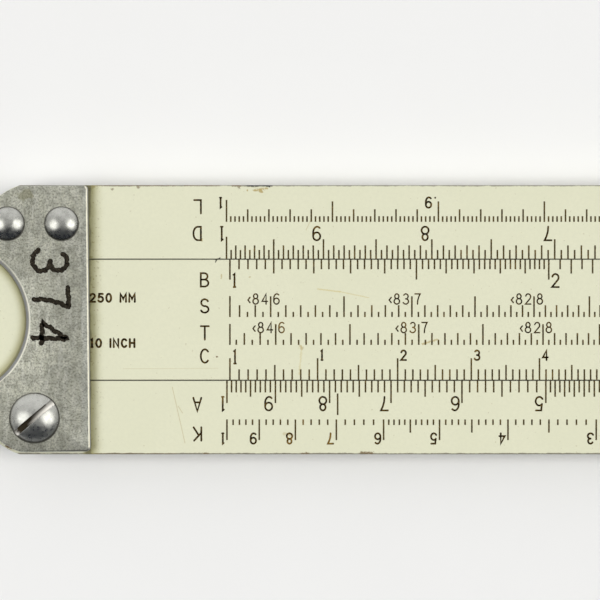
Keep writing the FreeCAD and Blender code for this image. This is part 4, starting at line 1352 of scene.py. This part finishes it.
# Spring: a flat strip carried along an arc.
spring_steel = turned_metal("spring_steel", (0.42, 0.43, 0.45, 1), (0.25, 0.24, 0.24, 1), 0.22, 0.003 * MM)
low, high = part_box("cursor_spring")
sag = high.y - low.y - SPRING_STRIP
ball = (SPRING_HALF**2 + sag**2) / (2 * sag)
reach = math.degrees(math.asin(SPRING_HALF / ball))
bow = arc(CURSOR_X, low.y + SPRING_STRIP / 2 + ball, ball, 270 - reach, 270 + reach, 49)
mesh = joined_mesh("cursor_spring", [ribbon(bow, SPRING_STRIP, low.z, high.z, round_ends=False)])
spring = add_piece("cursor_spring_bowed", mesh, spring_steel)

# Screws: small round heads in front, flat heads sunk flush behind.
steel, shade = (0.62, 0.62, 0.60, 1), (0.36, 0.35, 0.33, 1)
cursor_screw_metal = turned_metal("cursor_screw_steel", steel, shade, 0.24, 0.004 * MM)
small_screws = {}
for number, (x, y) in enumerate(cursor_screws, 1):
    cad_node = f"cursor_screw_front_{number}"
    low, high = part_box(cad_node)
    seat = high.z - CURSOR_DOME
    cap = lambda r: dome_height(r, CURSOR_HEAD, CURSOR_DOME)
    slot = (CURSOR_SLOT_HALF, CURSOR_DOME - CURSOR_SLOT_DEEP, CURSOR_HEAD)
    tip = low.z - seat
    stem = [(CURSOR_SHANK, 0), (CURSOR_SHANK, tip + CURSOR_POINT_LONG), (CURSOR_POINT, tip)]
    turn = CURSOR_SLOT_TURN * number
    mesh = slotted_mesh(cad_node, x, y, seat, 1, CURSOR_HEAD, cap, slot, turn, stem)
    small_screws[cad_node] = add_piece(f"{cad_node}_slotted", mesh, cursor_screw_metal, sharp=25.0)
    cad_node = f"cursor_screw_back_{number}"
    low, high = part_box(cad_node)
    cone = (CURSOR_HEAD - CURSOR_SHANK) / CURSOR_SINK_DEEP
    slot = (CURSOR_SLOT_HALF, -CURSOR_SLOT_DEEP, CURSOR_HEAD - cone * CURSOR_SLOT_DEEP)
    tip = low.z - high.z
    stem = [(CURSOR_SHANK, -CURSOR_SINK_DEEP), (CURSOR_SHANK, tip + CURSOR_POINT_LONG)]
    stem.append((CURSOR_POINT, tip))
    mesh = slotted_mesh(cad_node, x, y, low.z, -1, CURSOR_HEAD, lambda r: 0 * r, slot, -turn, stem)
    small_screws[cad_node] = add_piece(f"{cad_node}_flush", mesh, cursor_screw_metal, sharp=25.0)

cursor_pieces = windows + [(spring, "cursor_spring", "spring_steel")]
cursor_pieces += [(piece, cad_node, "bar_nylon") for cad_node, piece in bars.items()]
cursor_pieces += [(piece, cad_node, "cursor_screw_steel") for cad_node, piece in small_screws.items()]
for piece, cad_node, finish in cursor_pieces:
    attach(piece, "cursor")
    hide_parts(cad_node)
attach(hairline, "cursor")


# ------------------------------------------------------------------------------------------------
# Stage. The rule lies on its back on white card under two softboxes, left and right. Metal shows
# two soft glints of them, the dark near side of the room and its bright far side. The camera looks
# straight down on the left end.
# ------------------------------------------------------------------------------------------------
VIEW_X, VIEW_Y = -116.33 * MM, 2.33 * MM
VIEW_WIDTH = 70.8 * MM
LENS = 200.0
SENSOR = 36.0
CARD_WHITE = (0.86, 0.86, 0.86, 1)
SOFTBOX_WIDE, SOFTBOX_DEEP = 0.42, 0.34
SOFTBOX_POWER = 2.72
SOFTBOXES = {"left": (-0.60, 0.80), "right": (0.56, 0.83)}  # how far along X from the view, how high
SOFTBOX_TONE = (1.0, 0.99, 0.997)
ROOM_LIGHT = 0.5
ROOM_NEAR, ROOM_SIDES, ROOM_FAR = (0.055, 0.062, 0.075, 1), (0.66, 0.66, 0.645, 1), (1.5, 1.5, 1.48, 1)
GLINTS = (((-0.65, -0.07, 0.76), 3.6), ((0.72, -0.03, 0.69), 4.0))  # direction and brightness
CARD_HALF = 1.2

camera_data = bpy.data.cameras.new("camera")
camera_data.lens = LENS
camera_data.sensor_width = SENSOR
camera_data.clip_start = 0.01
camera = bpy.data.objects.new("camera", camera_data)
camera.location = (VIEW_X, VIEW_Y, FACE_Z + VIEW_WIDTH * LENS / SENSOR)
bpy.context.scene.collection.objects.link(camera)
bpy.context.scene.camera = camera
bpy.context.scene.view_settings.view_transform = "Standard"

card_mesh = bpy.data.meshes.new("card")
corners = [(x * CARD_HALF, y * CARD_HALF, 0) for x, y in ((-1, -1), (1, -1), (1, 1), (-1, 1))]
card_mesh.from_pydata(corners, [], [(0, 1, 2, 3)])
card = bpy.data.objects.new("card", card_mesh)
bpy.context.scene.collection.objects.link(card)
card_material, tree, shader, place = new_material("white_card", {"Roughness": 0.8})
fibres = grain(tree, place, 90.0, detail=4.0)
card_tone = blend_colour(tree, fibres, CARD_WHITE, (0.845, 0.845, 0.843, 1))
tint(tree, shader, card_tone)
card_mesh.materials.append(card_material)

for word, (x, z) in SOFTBOXES.items():
    lamp = bpy.data.lights.new(f"softbox_{word}", "AREA")
    lamp.shape = "RECTANGLE"
    lamp.size, lamp.size_y = SOFTBOX_WIDE, SOFTBOX_DEEP
    lamp.energy = SOFTBOX_POWER
    lamp.color = SOFTBOX_TONE
    holder = bpy.data.objects.new(f"softbox_{word}", lamp)
    holder.location = (VIEW_X + x, 0, z)
    towards = Vector((VIEW_X, 0, 0)) - holder.location
    holder.rotation_euler = towards.to_track_quat("-Z", "Y").to_euler()
    holder.visible_glossy = False
    bpy.context.scene.collection.objects.link(holder)

world = bpy.data.worlds.new("room")
world.use_nodes = True
bpy.context.scene.world = world
tree = world.node_tree
background = tree.nodes["Background"]
direction = node(tree, "ShaderNodeTexCoord").outputs["Generated"]
split = node(tree, "ShaderNodeSeparateXYZ", [(0, direction)])
near_side = spread(tree, split.outputs["Y"], -0.6, 0.0)
far_side = spread(tree, split.outputs["Y"], 0.0, 0.8)
room = blend_colour(tree, near_side, ROOM_NEAR, ROOM_SIDES)
room = blend_colour(tree, far_side, room, ROOM_FAR)
for towards, glow in GLINTS:
    facing = vector_maths(tree, "DOT_PRODUCT", direction, Vector(towards).normalized())
    glint = spread(tree, facing.outputs["Value"], 0.9, 0.975)
    room = blend_colour(tree, glint, room, (glow, glow, 0.96 * glow, 1))
tree.links.new(room, background.inputs["Color"])
background.inputs["Strength"].default_value = ROOM_LIGHT
